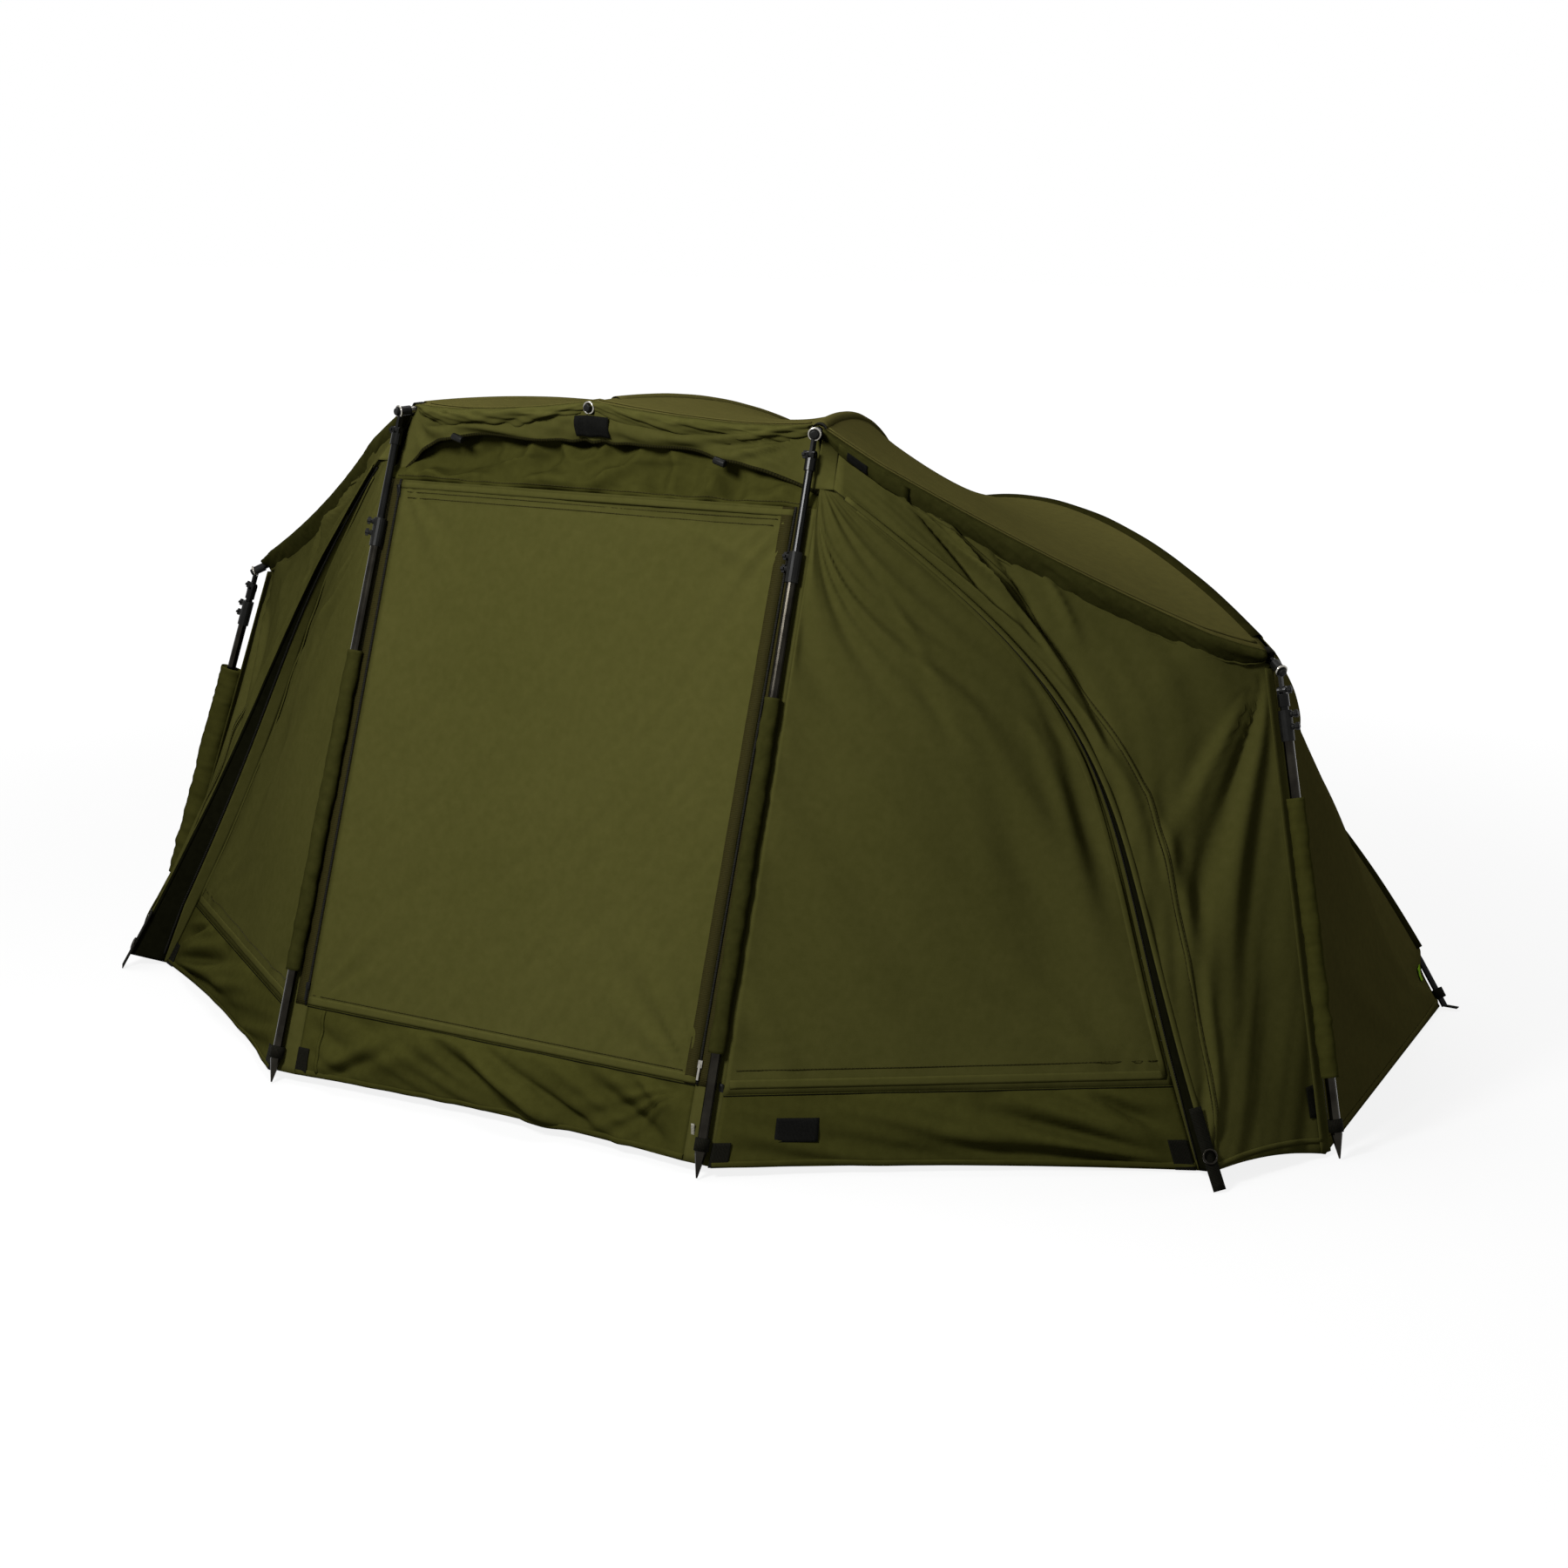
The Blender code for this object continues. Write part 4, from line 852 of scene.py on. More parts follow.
def flap_edge(along):
    """The right wing's free front edge: a curve from beside the inner pole down to its peg."""
    start = wall_point(strip_edge_x(FLAP_TOP_Z) + FLAP_START_REACH, FLAP_TOP_Z)
    guides = []
    for share_x, share_y, share_z in (FLAP_FIRST_SHARES, FLAP_SECOND_SHARES):
        x = start.x + (PEG.x - start.x) * share_x
        guides.append(Vector((x, OUTER_TIP.y * share_y, start.z * share_z)))
    rest = 1.0 - along
    point = start * rest ** 3 + guides[0] * (3.0 * along * rest ** 2)
    return point + guides[1] * (3.0 * along ** 2 * rest) + PEG * along ** 3


def zip_edge(along):
    """The curved zip, set back behind the flap's edge by a strip that widens downward."""
    width = RETURN_TOP + (RETURN_BOTTOM - RETURN_TOP) * along
    return flap_edge(along) + Vector((-1.0, 1.0, 0.0)).normalized() * width


def zip_share_at(height):
    low, high = 0.0, 1.0
    for _ in range(30):
        middle = (low + high) / 2.0
        if zip_edge(middle).z > height:
            low = middle
        else:
            high = middle
    return low


SEAM_ZIP_SHARE = zip_share_at(SIDE_SEAM_Z)


def zip_share_in_step(along):
    """Where a row of the wing meets the zip, in step with the rows of the door and the skirt."""
    if along <= SIDE_SEAM_SHARE:
        return SEAM_ZIP_SHARE * along / SIDE_SEAM_SHARE
    return SEAM_ZIP_SHARE + (1.0 - SEAM_ZIP_SHARE) * (along - SIDE_SEAM_SHARE) / (1.0 - SIDE_SEAM_SHARE)


def wing_rim(along):
    """The wing's outer border: under the roof's edge, then down the seam at the outer pole."""
    if along <= 0.5:
        first_share = 2.0 * STRIP_REACH / (OUTER_TIP.x - INNER_TIP.x)
        across = first_share + (1.0 - first_share) * 2.0 * along
        under = 2.0 * ROOF_LIFT * (1.0 - min(1.0, 2.0 * hump(across)))
        return corner_roof_point(across, 1.0) - UP * (under + 2.0 * CLOTH)
    return pole_seam(2.0 * along - 1.0)


def wing_edge_share(along):
    """Where a row meets the wing's free edge, which ends above the peg, where its strap goes on."""
    return zip_share_in_step(along) * (1.0 - PEG_STRAP_SHARE * along ** 8)


def wing_point(across, along):
    """The right wing from its free front edge out to the roof's edge and the outer pole."""
    point = flap_edge(wing_edge_share(along)).lerp(wing_rim(along), across)
    depth = WING_SAG * hump(across) * math.sin(math.pi * along)
    rise = UP * (WING_HEM_RISE * hump(across) * along ** 6)
    return point + rise - POLE_OUT * depth


def shadow_gap_split(along):
    """Where across the return strip its painted shadow begins: a dark strip that stands for the shaded gap
    beside the wing's edge.
    """
    return 0.10 + 0.48 * hump(along ** 0.5)


def return_point(across, along):
    """The strip from the curved zip out to the wing's free edge."""
    return zip_edge(zip_share_in_step(along)).lerp(flap_edge(wing_edge_share(along)), across)


# The part of the return strip drawn as painted shadow
def shadow_gap_point(across, along):
    split = shadow_gap_split(along)
    return return_point(split + (1.0 - split) * across, along)


def return_cloth_point(across, along):
    return return_point(shadow_gap_split(along) * across, along)


def side_front_point(across, zip_share):
    """A point between the strip behind the inner pole and the curved zip, at the zip's height."""
    right = zip_edge(zip_share)
    left = wall_point(strip_edge_x(right.z), right.z)
    return left.lerp(right, across)


SIDE_OUT = (side_front_point(1.0, 1.0) - side_front_point(0.0, 1.0)).normalized().cross(UP)
SIDE_DOOR_WIDTH = (side_front_point(1.0, 1.0) - side_front_point(0.0, 1.0)).length


def side_door_point(across, along):
    share = SEAM_ZIP_SHARE * (1.0 - along)
    point = side_front_point(across, share)
    width = (side_front_point(1.0, share) - side_front_point(0.0, share)).length
    bulge = DOOR_BULGE * math.sin(math.pi * across) ** 2 * math.sin(math.pi * along)
    return point + SIDE_OUT * (bulge * width / SIDE_DOOR_WIDTH)


def side_skirt_point(across, along):
    share = 1.0 + (SEAM_ZIP_SHARE - 1.0) * along
    rise = (FRONT_HEM_LIFT - HEM_LIFT) * (1.0 - across) * (1.0 - along) ** 2
    tuck = SIDE_SKIRT_TUCK * hump(across) * (1.0 - along) ** 2 - SKIRT_BULGE * hump(across) * hump(along)
    return side_front_point(across, share) + UP * rise - SIDE_OUT * tuck


def arch_z(x):
    """The height of the peak's arched lower edge, which is drawn up further on its left."""
    drop = ARCH_LEFT_DROP * (-x / INNER_TIP.x) ** 7 if x < 0.0 else ARCH_RIGHT_DROP * (x / INNER_TIP.x) ** 2.5
    return ARCH_TOP_Z - drop


def peak_point(across, along):
    """The panel that hangs from the roof's front edge down to the arch over the door."""
    top = front_roof_point(across, 1.0) - UP * CLOTH
    x = strip_edge_x(ARCH_TOP_Z) * (2.0 * across - 1.0)
    clear = smooth_step(2.5 * hump(across) - 0.25)
    low = wall_point(x, arch_z(x), PEAK_BULGE * clear - PEAK_END_SETBACK * (1.0 - clear))
    return top.lerp(low, along) + WALL_OUT * (PEAK_BULGE * clear * hump(along) * 0.5 * (1.0 + hump(across)))


def header_point(across, along):
    """The slack panel behind the arch, down to the door's upper seam."""
    x = strip_edge_x(DOOR_TOP_Z) * (2.0 * across - 1.0)
    high = front_roof_point(across, 1.0) - UP * (2.0 * ROOF_LIFT)
    back = WALL_OUT * (HEADER_SETBACK * smooth_step(2.0 * along))
    return wall_point(x, DOOR_TOP_Z).lerp(high, along) - back


def front_door_point(across, along):
    height = DOOR_BOTTOM_Z + (DOOR_TOP_Z - DOOR_BOTTOM_Z) * along
    return wall_point(DOOR_HALF_WIDTH * (2.0 * across - 1.0), height)


def front_skirt_point(across, along):
    height = FRONT_HEM_LIFT + (DOOR_BOTTOM_Z - FRONT_HEM_LIFT) * along
    tuck = SKIRT_TUCK * hump(across) * (1.0 - along) ** 2 - SKIRT_BULGE * hump(across) * hump(along)
    return wall_point(DOOR_HALF_WIDTH * (2.0 * across - 1.0), height) - FRONT * tuck


def strip_point(across, along):
    """The right strip between the two doors' zips, behind the inner pole."""
    height = FRONT_HEM_LIFT + (DOOR_TOP_Z - FRONT_HEM_LIFT) * along
    x = DOOR_HALF_WIDTH + (strip_edge_x(height) - DOOR_HALF_WIDTH) * across
    return wall_point(x, height)


def shoulder_point(across, along):
    """The small gusset between the inner pole and the top of the wing."""
    height = FLAP_TOP_Z + (INNER_TIP.z - SHOULDER_INSET - FLAP_TOP_Z) * along
    return wall_point(strip_edge_x(height) - SHOULDER_INSET, height).lerp(wing_point(along, 0.0), across)


def lip_height(share, middle):
    return LIP_END_HEIGHT + (middle - LIP_END_HEIGHT) * math.sqrt(max(hump(share), 0.0))


def lip_share(across):
    """A place along a lip, whose ends stay clear of the rib tips, as a share of the roof's edge."""
    return LIP_MARGIN_SHARE + (1.0 - 2.0 * LIP_MARGIN_SHARE) * across


def corner_lip_point(across, along):
    """The right lip: a band that hangs from the roof's edge between the inner and the outer tip."""
    edge = corner_roof_point(lip_share(across), 1.0)
    out = (OUTER_TIP - INNER_TIP).cross(UP).normalized()
    drop = lip_height(across, CORNER_LIP_HEIGHT) * along
    curl = LIP_BULGE * (0.4 + 2.4 * hump(along ** 0.55)) - LIP_TUCK * along ** 2
    return edge - UP * (drop - CLOTH) + out * curl


def front_lip_point(across, along):
    """The front lip, rolled up and drawn to the eyelet in the middle and to both tips."""
    edge = front_roof_point(lip_share(across), 1.0)
    drop = lip_height(across * 2.0 % 1.0, FRONT_LIP_HEIGHT) * along
    pinch = 0.2 + 0.8 * math.sqrt(max(hump(across * 2.0 % 1.0), 0.0))
    return edge - UP * (drop - CLOTH) + FRONT * (LIP_BULGE * pinch * (0.6 + 3.0 * hump(along ** 0.6)))


def sleeve_point(rib, last_share, radius):
    """A cloth tube round a rib, from near the hub to its open mouth."""
    def surface(across, along):
        share = SLEEVE_START_SHARE + (last_share - SLEEVE_START_SHARE) * along
        turn = 2.0 * math.pi * across
        wide = radius * (1.0 + RIB_SLEEVE_PUFF_SHARE * noise.noise(Vector((along * 12.0, turn, rib.tip.x))))
        out = rib.side * math.cos(turn) + rib.normal(share) * math.sin(turn)
        return rib.point(share) + out * wide
    return surface


def pole_sleeve_point(foot, tip, last_share, half_width):
    """A slack cloth tube round a storm pole, wider than deep and pinched into wrinkles."""
    along_pole = (tip - foot).normalized()
    out = (FRONT - along_pole * FRONT.dot(along_pole)).normalized()
    side = along_pole.cross(out)

    def surface(across, along):
        turn = 2.0 * math.pi * across
        puff = noise.noise(Vector((along * 16.0, math.cos(turn) * 0.8, math.sin(turn) + foot.x)))
        pinch = noise.noise(Vector((along * 45.0, math.cos(turn) * 0.5, foot.x + 7.0)))
        wide = 1.0 + POLE_SLEEVE_PUFF_SHARE * puff + POLE_SLEEVE_PINCH_SHARE * pinch
        round_out = (out * (SLEEVE_DEPTH_SHARE * math.cos(turn)) + side * math.sin(turn)) * half_width
        share = POLE_SLEEVE_START_SHARE + (last_share - POLE_SLEEVE_START_SHARE) * along
        return foot.lerp(tip, share) + round_out * wide
    return surface


def crown_point(across, along):
    """The round patch that covers the hub, over the inner ends of all the panels."""
    turn = 2.0 * math.pi * across
    axis = Vector((0.0, HUB_TILT_SHARE, 1.0)).normalized()
    side = axis.cross(RIGHT)
    radius = CROWN_PATCH_RADIUS * along
    height = CROWN_PATCH_HEIGHT - CROWN_PATCH_STEP * smooth_step(along) - CROWN_PATCH_DROP * along ** 2
    return HUB + axis * height + (RIGHT * math.cos(turn) + side * math.sin(turn)) * radius


# The panels of the cover, with their folds. A left panel mirrors the right one

ROOF_FRONT = Panel(front_roof_point, UP, (streaks(92.0, 0.5, 0.09, 0.004, 1.0),), edge=0.1)
ROOF_CORNER = Panel(corner_roof_point, UP, (
    streaks(95.0, 0.6, 0.12, 0.003, 3.0),
    fan((1.0, 1.0), 200.0, 40.0, 1.5, 0.30, 0.003),
), edge=0.08)
ROOF_SIDE = Panel(side_roof_point, RIGHT + UP, (
    streaks(80.0, 0.7, 0.13, 0.004, 4.0),
    dome((0.60, 0.70), 0.22, 0.022),
    crease((0.92, 0.99), (0.30, 0.72), 0.06, -0.012),
    crease((0.75, 1.00), (0.10, 0.80), 0.05, 0.010),
), edge=0.08)
ROOF_REAR = Panel(rear_roof_point, RIGHT + UP - FRONT, (
    streaks(90.0, 0.6, 0.12, 0.005, 6.0),
    crumple(0.45, 0.003, 7.0),
    dome((0.5, 0.75), 0.3, -0.012),
))
ROOF_BACK = Panel(back_roof_point, UP - FRONT, (
    streaks(90.0, 0.6, 0.11, 0.005, 2.0),
    crumple(0.5, 0.004, 5.0),
    dome((0.5, 0.75), 0.35, -0.015),
))
PEAK = Panel(peak_point, FRONT, (
    fan((0.0, 0.0), 30.0, 40.0, 2.0, 0.30, 0.008),
    fan((1.0, 0.0), 168.0, 30.0, 2.5, 0.42, 0.010),
    fan((0.5, 0.0), 90.0, 85.0, 3.0, 0.16, 0.006),
    streaks(9.0, 0.22, 0.024, 0.010, 1.0),
), (1, 1, 1, 0), edge=0.1)
HEADER = Panel(header_point, FRONT, (
    crumple(0.085, 0.024, 2.0),
    crumple(0.19, 0.018, 5.5),
    streaks(4.0, 0.5, 0.012, 0.003, 3.0),
), edge=0.12)
FRONT_DOOR = Panel(front_door_point, FRONT, (
    fan((0.0, 0.0), 50.0, 42.0, 2.0, 0.16, 0.005),
    fan((1.0, 0.0), 128.0, 45.0, 2.0, 0.26, 0.008),
    fan((0.0, 1.0), -50.0, 40.0, 1.5, 0.20, 0.005),
    fan((1.0, 1.0), -125.0, 40.0, 2.0, 0.18, 0.006),
    crease((0.30, 0.990), (0.97, 0.958), 0.022, -0.012),
    crease((0.70, 0.975), (0.98, 0.88), 0.02, 0.007),
    streaks(60.0, 0.10, 0.02, 0.0025, 21.0),
    streaks(88.0, 0.9, 0.30, 0.004, 4.0),
), edge=0.03)
FRONT_SKIRT = Panel(front_skirt_point, FRONT, (
    crease((0.04, 0.15), (0.42, 1.0), 0.045, 0.028),
    crease((0.08, 0.02), (0.33, 0.95), 0.028, -0.026),
    crease((0.40, 1.0), (0.71, 0.02), 0.036, 0.028),
    crease((0.33, 0.95), (0.60, 0.0), 0.028, -0.024),
    crease((0.47, 0.95), (0.78, 0.0), 0.024, -0.020),
    crease((0.56, 0.70), (0.69, 0.02), 0.025, 0.014),
    crease((0.86, 1.0), (1.0, 0.40), 0.025, 0.020),
    crease((0.72, 0.9), (0.98, 0.1), 0.032, -0.018),
    fan((1.0, 1.0), -150.0, 30.0, 2.5, 0.30, 0.006),
    streaks(-22.0, 0.30, 0.030, 0.011, 6.0),
), edge=0.08)
FRONT_STRIP = Panel(strip_point, FRONT, (streaks(85.0, 0.2, 0.02, 0.002, 8.0),), edge=0.2)
WING = Panel(wing_point, RIGHT + FRONT, (
    crease((1.00, 0.500), (0.30, 0.600), 0.050, 0.012),
    crease((1.00, 0.505), (0.26, 0.690), 0.045, -0.018),
    crease((1.00, 0.520), (0.30, 0.780), 0.050, 0.016),
    crease((1.00, 0.540), (0.50, 0.900), 0.060, -0.012),
    crease((0.22, 0.480), (0.33, 0.750), 0.030, 0.014),
    crease((0.33, 0.700), (0.08, 0.920), 0.030, 0.012),
    crease((0.10, 0.020), (0.08, 0.420), 0.022, -0.016),
    crease((0.12, 0.100), (0.13, 0.640), 0.022, 0.014),
    crease((0.20, 0.060), (0.24, 0.330), 0.020, 0.012),
    crease((0.86, 0.100), (0.24, 0.230), 0.018, 0.024),
    crease((0.84, 0.060), (0.20, 0.190), 0.015, -0.022),
    crease((0.80, 0.040), (0.16, 0.330), 0.018, 0.020),
    crease((0.72, 0.060), (0.14, 0.420), 0.016, -0.018),
    crease((0.90, 0.170), (0.42, 0.250), 0.016, -0.016),
    crease((0.92, 0.230), (0.50, 0.310), 0.018, 0.013),
    fan((1.0, 0.5), 128.0, 60.0, 2.5, 0.30, 0.006),
    streaks(112.0, 0.5, 0.045, 0.008, 9.0),
), (1, 1, 1, 0), edge=0.05)
SIDE_DOOR = Panel(side_door_point, RIGHT + FRONT, (
    fan((0.0, 1.0), -52.0, 24.0, 2.5, 0.95, 0.006),
    crease((0.55, 0.88), (0.70, 0.12), 0.045, 0.010),
    crease((0.62, 0.72), (0.94, 0.10), 0.045, 0.012),
    crease((0.50, 0.70), (0.84, 0.08), 0.045, -0.010),
    crease((0.96, 0.68), (0.91, 0.06), 0.030, -0.014),
    crease((0.86, 0.60), (0.93, 0.02), 0.030, 0.012),
    crease((0.00, 0.13), (0.19, 0.00), 0.014, 0.008),
    crease((0.00, 0.09), (0.13, 0.00), 0.012, -0.007),
    crease((0.76, 0.09), (0.88, 0.00), 0.016, 0.007),
    fan((1.0, 0.0), 140.0, 35.0, 2.0, 0.20, 0.005),
    streaks(-62.0, 0.5, 0.06, 0.009, 10.0),
), edge=0.04)
SIDE_SKIRT = Panel(side_skirt_point, RIGHT + FRONT, (
    crease((1.00, 0.05), (0.58, 1.00), 0.032, 0.026),
    crease((1.00, 0.05), (0.55, 0.80), 0.026, -0.026),
    crease((1.00, 0.05), (0.47, 0.55), 0.026, 0.022),
    crease((1.00, 0.03), (0.38, 0.32), 0.022, -0.016),
    crease((0.74, 0.98), (0.97, 0.28), 0.022, 0.018),
    crease((0.80, 0.98), (0.98, 0.36), 0.020, -0.016),
    crease((0.28, 0.92), (0.62, 0.20), 0.036, 0.010),
    streaks(-14.0, 0.34, 0.032, 0.012, 11.0),
), edge=0.10)
SHOULDER = Panel(shoulder_point, RIGHT + FRONT)
SHADOW_GAP = Panel(shadow_gap_point, RIGHT + FRONT)
RETURN_CLOTH = Panel(return_cloth_point, RIGHT + FRONT)
CORNER_LIP = Panel(corner_lip_point, RIGHT + FRONT, (
    streaks(26.0, 0.10, 0.012, 0.005, 13.0),
    streaks(3.0, 0.5, 0.03, 0.003, 14.0),
), (0, 0, 1, 0), edge=0.45)
FRONT_LIP = Panel(front_lip_point, FRONT, (
    streaks(-14.0, 0.22, 0.016, 0.012, 12.0),
    streaks(11.0, 0.16, 0.010, 0.008, 17.0),
), (0, 0, 1, 0), edge=0.15)


def side_panel(panel, key):
    return panel.mirrored() if key == "left" else panel


def both_sides(name, panel, columns, rows, material, node=None, body=None, **more):
    """The same panel on the right and, mirrored, on the left."""
    for key, _ in SIDES:
        part = side_panel(panel, key)
        nodes = (node + "_" + key,) if node else ()
        ride = body + "_" + key if body else "tent"
        cloth(name + "_" + key, part, columns, rows, material, nodes=nodes, body=ride, **more)


def build_panels():
    cloth("roof_front_cloth", ROOF_FRONT, 84, 40, ROOF, nodes=("roof_front",), held="stretched")
    cloth("roof_back_cloth", ROOF_BACK, 60, 60, ROOF, nodes=("roof_back",), held="stretched")
    both_sides("roof_corner_cloth", ROOF_CORNER, 56, 48, ROOF, "roof_corner", held="stretched")
    both_sides("roof_side_cloth", ROOF_SIDE, 64, 96, ROOF, "roof_side", held="stretched")
    both_sides("roof_rear_cloth", ROOF_REAR, 56, 80, ROOF, "roof_rear", held="stretched")
    cloth("peak_cloth", PEAK, 120, 20, COVER, held="hung")
    # The header and the skirts are in the soft-shade copy of the cover and the corner lips in the mid-shade
    # copy: painted shade
    cloth("header_cloth", HEADER, 120, 26, SOFT_SHADE_CLOTH, nodes=("front_header",), held="hung")
    cloth("front_door_cloth", FRONT_DOOR, 90, 100, COVER, body="front_door", nodes=("front_door",),
          held="hung")
    cloth("front_skirt_cloth", FRONT_SKIRT, 120, 26, SOFT_SHADE_CLOTH, nodes=("front_skirt",), held="hung")
    both_sides("front_strip_cloth", FRONT_STRIP, 6, 90, COVER, "front_strip", held="stretched")
    both_sides("wing_cloth", WING, 80, 120, COVER, "wing", held="stretched")
    both_sides("shoulder_cloth", SHOULDER, 10, 16, COVER, held="stretched")
    # The dark strip along the curved zip is painted shadow of the gap beside the wing's edge
    both_sides("painted_shadow_gap", SHADOW_GAP, 6, 90, SHADOW_GAP_CLOTH, held="stretched")
    both_sides("return_cloth", RETURN_CLOTH, 6, 90, COVER, held="stretched")
    both_sides("side_door_cloth", SIDE_DOOR, 90, 100, COVER, "side_door", "side_door", held="hung")
    both_sides("side_skirt_cloth", SIDE_SKIRT, 100, 24, SOFT_SHADE_CLOTH, "side_skirt", held="hung")
    both_sides("corner_lip", CORNER_LIP, 100, 12, MID_SHADE_CLOTH, held="hung")
    cloth("front_lip", FRONT_LIP, 150, 16, COVER, held="hung")


def outside(rib):
    """Gives the direction from a rib's middle line out to a place."""
    def away(place):
        steps = 60
        middles = [rib.point(step / steps) for step in range(steps + 1)]
        return place - min(middles, key=lambda middle: (middle - place).length)
    return away


def outside_pole(foot, tip):
    """Gives the direction from a pole's middle line out to a place."""
    line = (tip - foot).normalized()
    return lambda place: place - foot - line * (place - foot).dot(line)


def build_sleeves():
    """Cloth tubes round the ribs, and slack ones round the storm poles, which move with the upper tubes. The
    outer and rear rib sleeves and the pole sleeves are in darker copies of the cloth: painted shade.
    """
    for key, rib in RIBS.items():
        kind = key.split("_")[0]
        wide = kind in ("outer", "rear")
        # The outer and rear rib sleeves take the deep painted shade cloth
        radius, finish = (WIDE_RIB_SLEEVE_RADIUS, DEEP_SHADE_CLOTH) if wide else (RIB_SLEEVE_RADIUS, ROOF)
        around = Panel(sleeve_point(rib, SLEEVE_END_SHARES[kind], radius), outside(rib))
        cloth("rib_sleeve_" + key, around, 20, 60, finish, wrap=True)
    for key, flip in SIDES:
        for pole, foot, tip, last_share, half_width, finish in (
            ("inner_", INNER_FOOT * flip, INNER_TIP * flip, 0.640, INNER_SLEEVE_HALF_WIDTH, MID_SHADE_CLOTH),
            ("outer_", OUTER_FOOT * flip, OUTER_TIP * flip, 0.735, OUTER_SLEEVE_HALF_WIDTHS[key], SOFT_SHADE_CLOTH),
        ):
            around = Panel(pole_sleeve_point(foot, tip, last_share, half_width), outside_pole(foot, tip))
            cloth("pole_sleeve_" + pole + key, around, 28, 110, finish, body="upper_pole_" + pole + key,
                  wrap=True)


# Seams, hems, zips and fittings

# Straight seams: name, panel, first and last place as shares, width, finish, steps, then the crown's
# height and the height over the cloth where they differ from those of a flat tape
FRONT_SEAMS = (
    # The arch's hem, dark as painted shade under the peak's edge
    ("peak_hem", PEAK, (0.0, 0.985), (1.0, 0.985), 0.007, HEM_AND_SHADE, 110, 0.0015),
    ("header_tuck", HEADER, (0.03, 0.05), (0.97, 0.05), 0.0015, THREAD, 90),
    ("front_door_foot", FRONT_DOOR, (0.0, 0.009), (1.0, 0.009), 0.016, COVER, 60, 0.0006),
    ("front_door_stitch", FRONT_DOOR, (0.01, 0.020), (0.965, 0.020), 0.0013, THREAD, 60),
    # A thin line of painted shadow under the door's foot, where it laps over the skirt
    ("front_door_gap", FRONT_SKIRT, (0.0, 0.985), (1.0, 0.985), 0.0022, SHADOW_GAP_CLOTH, 100, 0.0, 0.0),
    ("front_door_head", FRONT_DOOR, (0.0, 0.990), (1.0, 0.990), 0.014, COVER, 60, 0.0015),
    # A dark band on the door's right edge: painted shade between the door and the right inner pole
    ("front_door_zip_cover", FRONT_DOOR, (0.986, 0.0), (0.986, 1.0), 0.024, ZIP_TAPE_AND_SHADE, 60),
    ("front_door_tuck_0", FRONT_DOOR, (0.02, 0.977), (0.965, 0.977), 0.0015, THREAD, 60),
    ("front_door_tuck_1", FRONT_DOOR, (0.02, 0.966), (0.965, 0.966), 0.0015, THREAD, 60),
    ("front_skirt_hem", FRONT_SKIRT, (0.0, 0.05), (1.0, 0.05), 0.012, SOFT_SHADE_CLOTH, 100, 0.002),
    ("front_skirt_joint", FRONT_SKIRT, (0.055, 0.05), (0.050, 0.97), 0.008, SOFT_SHADE_CLOTH, 14, 0.002),
)
WALL_SEAMS = (
    ("side_door_foot", SIDE_DOOR, (0.01, 0.011), (0.99, 0.011), 0.016, COVER, 60, 0.0006),
    ("side_door_stitch", SIDE_DOOR, (0.02, 0.026), (0.98, 0.026), 0.0013, THREAD, 60),
    # A thin line of painted shadow under the side door's foot, where it laps over the skirt
    ("side_door_gap", SIDE_SKIRT, (0.0, 0.985), (1.0, 0.985), 0.0022, SHADOW_GAP_CLOTH, 100, 0.0, 0.0),
    ("side_door_edge", SIDE_DOOR, (0.985, 0.01), (0.985, 0.97), 0.012, COVER, 60, 0.0015),
    ("wing_shadow_line", SHADOW_GAP, (0.96, 0.01), (0.96, 0.97), 0.006, SHADOW_GAP_CLOTH, 90),
    ("side_zip", SHADOW_GAP, (0.08, 0.01), (0.08, 0.97), 0.005, ZIP_COIL, 90, 0.001),
    ("side_skirt_hem", SIDE_SKIRT, (0.0, 0.05), (1.0, 0.05), 0.012, SOFT_SHADE_CLOTH, 100, 0.002),
    ("wing_edge", WING, (0.012, 0.01), (0.012, 0.99), 0.012, COVER, 110, 0.0020),
    ("wing_foot", WING, (0.04, 0.986), (0.97, 0.986), 0.010, COVER, 40, 0.002),
)
EDGE_SEAMS = (
    ("lip_hem", CORNER_LIP, (0.0, 0.90), (1.0, 0.90), 0.007, COVER, 100, 0.002),
    ("side_foot", ROOF_SIDE, (0.02, 0.992), (0.98, 0.992), 0.010, ROOF, 60, 0.001),
    ("rear_foot", ROOF_REAR, (0.02, 0.992), (0.98, 0.992), 0.010, ROOF, 60, 0.001),
    ("side_seam", ROOF_SIDE, (0.035, 0.64), (0.035, 0.98), 0.008, HEM_AND_SHADE, 30, 0.001),
    ("corner_edge", ROOF_CORNER, (0.02, 0.984), (0.98, 0.984), 0.010, ROOF, 60, 0.0015),
)
MIDDLE_EDGE_SEAMS = (
    ("back_foot", ROOF_BACK, (0.02, 0.992), (0.98, 0.992), 0.010, ROOF, 60, 0.001),
    ("front_edge", ROOF_FRONT, (0.02, 0.984), (0.98, 0.984), 0.010, ROOF, 90, 0.0015),
)


def sew_straight(seams, key=""):
    """Sews a table of straight seams, on one side's panels where a side is given. A door's own ride on it."""
    for name, panel, first, last, width, finish, steps, *rises in seams:
        body = "front_door" if panel is FRONT_DOOR else "tent"
        if key:
            body = "side_door_" + key if panel is SIDE_DOOR else "tent"
            name += "_" + key
            panel = side_panel(panel, key)
        sewn(name, panel, straight(first, last), width, finish, steps, *rises, body=body)


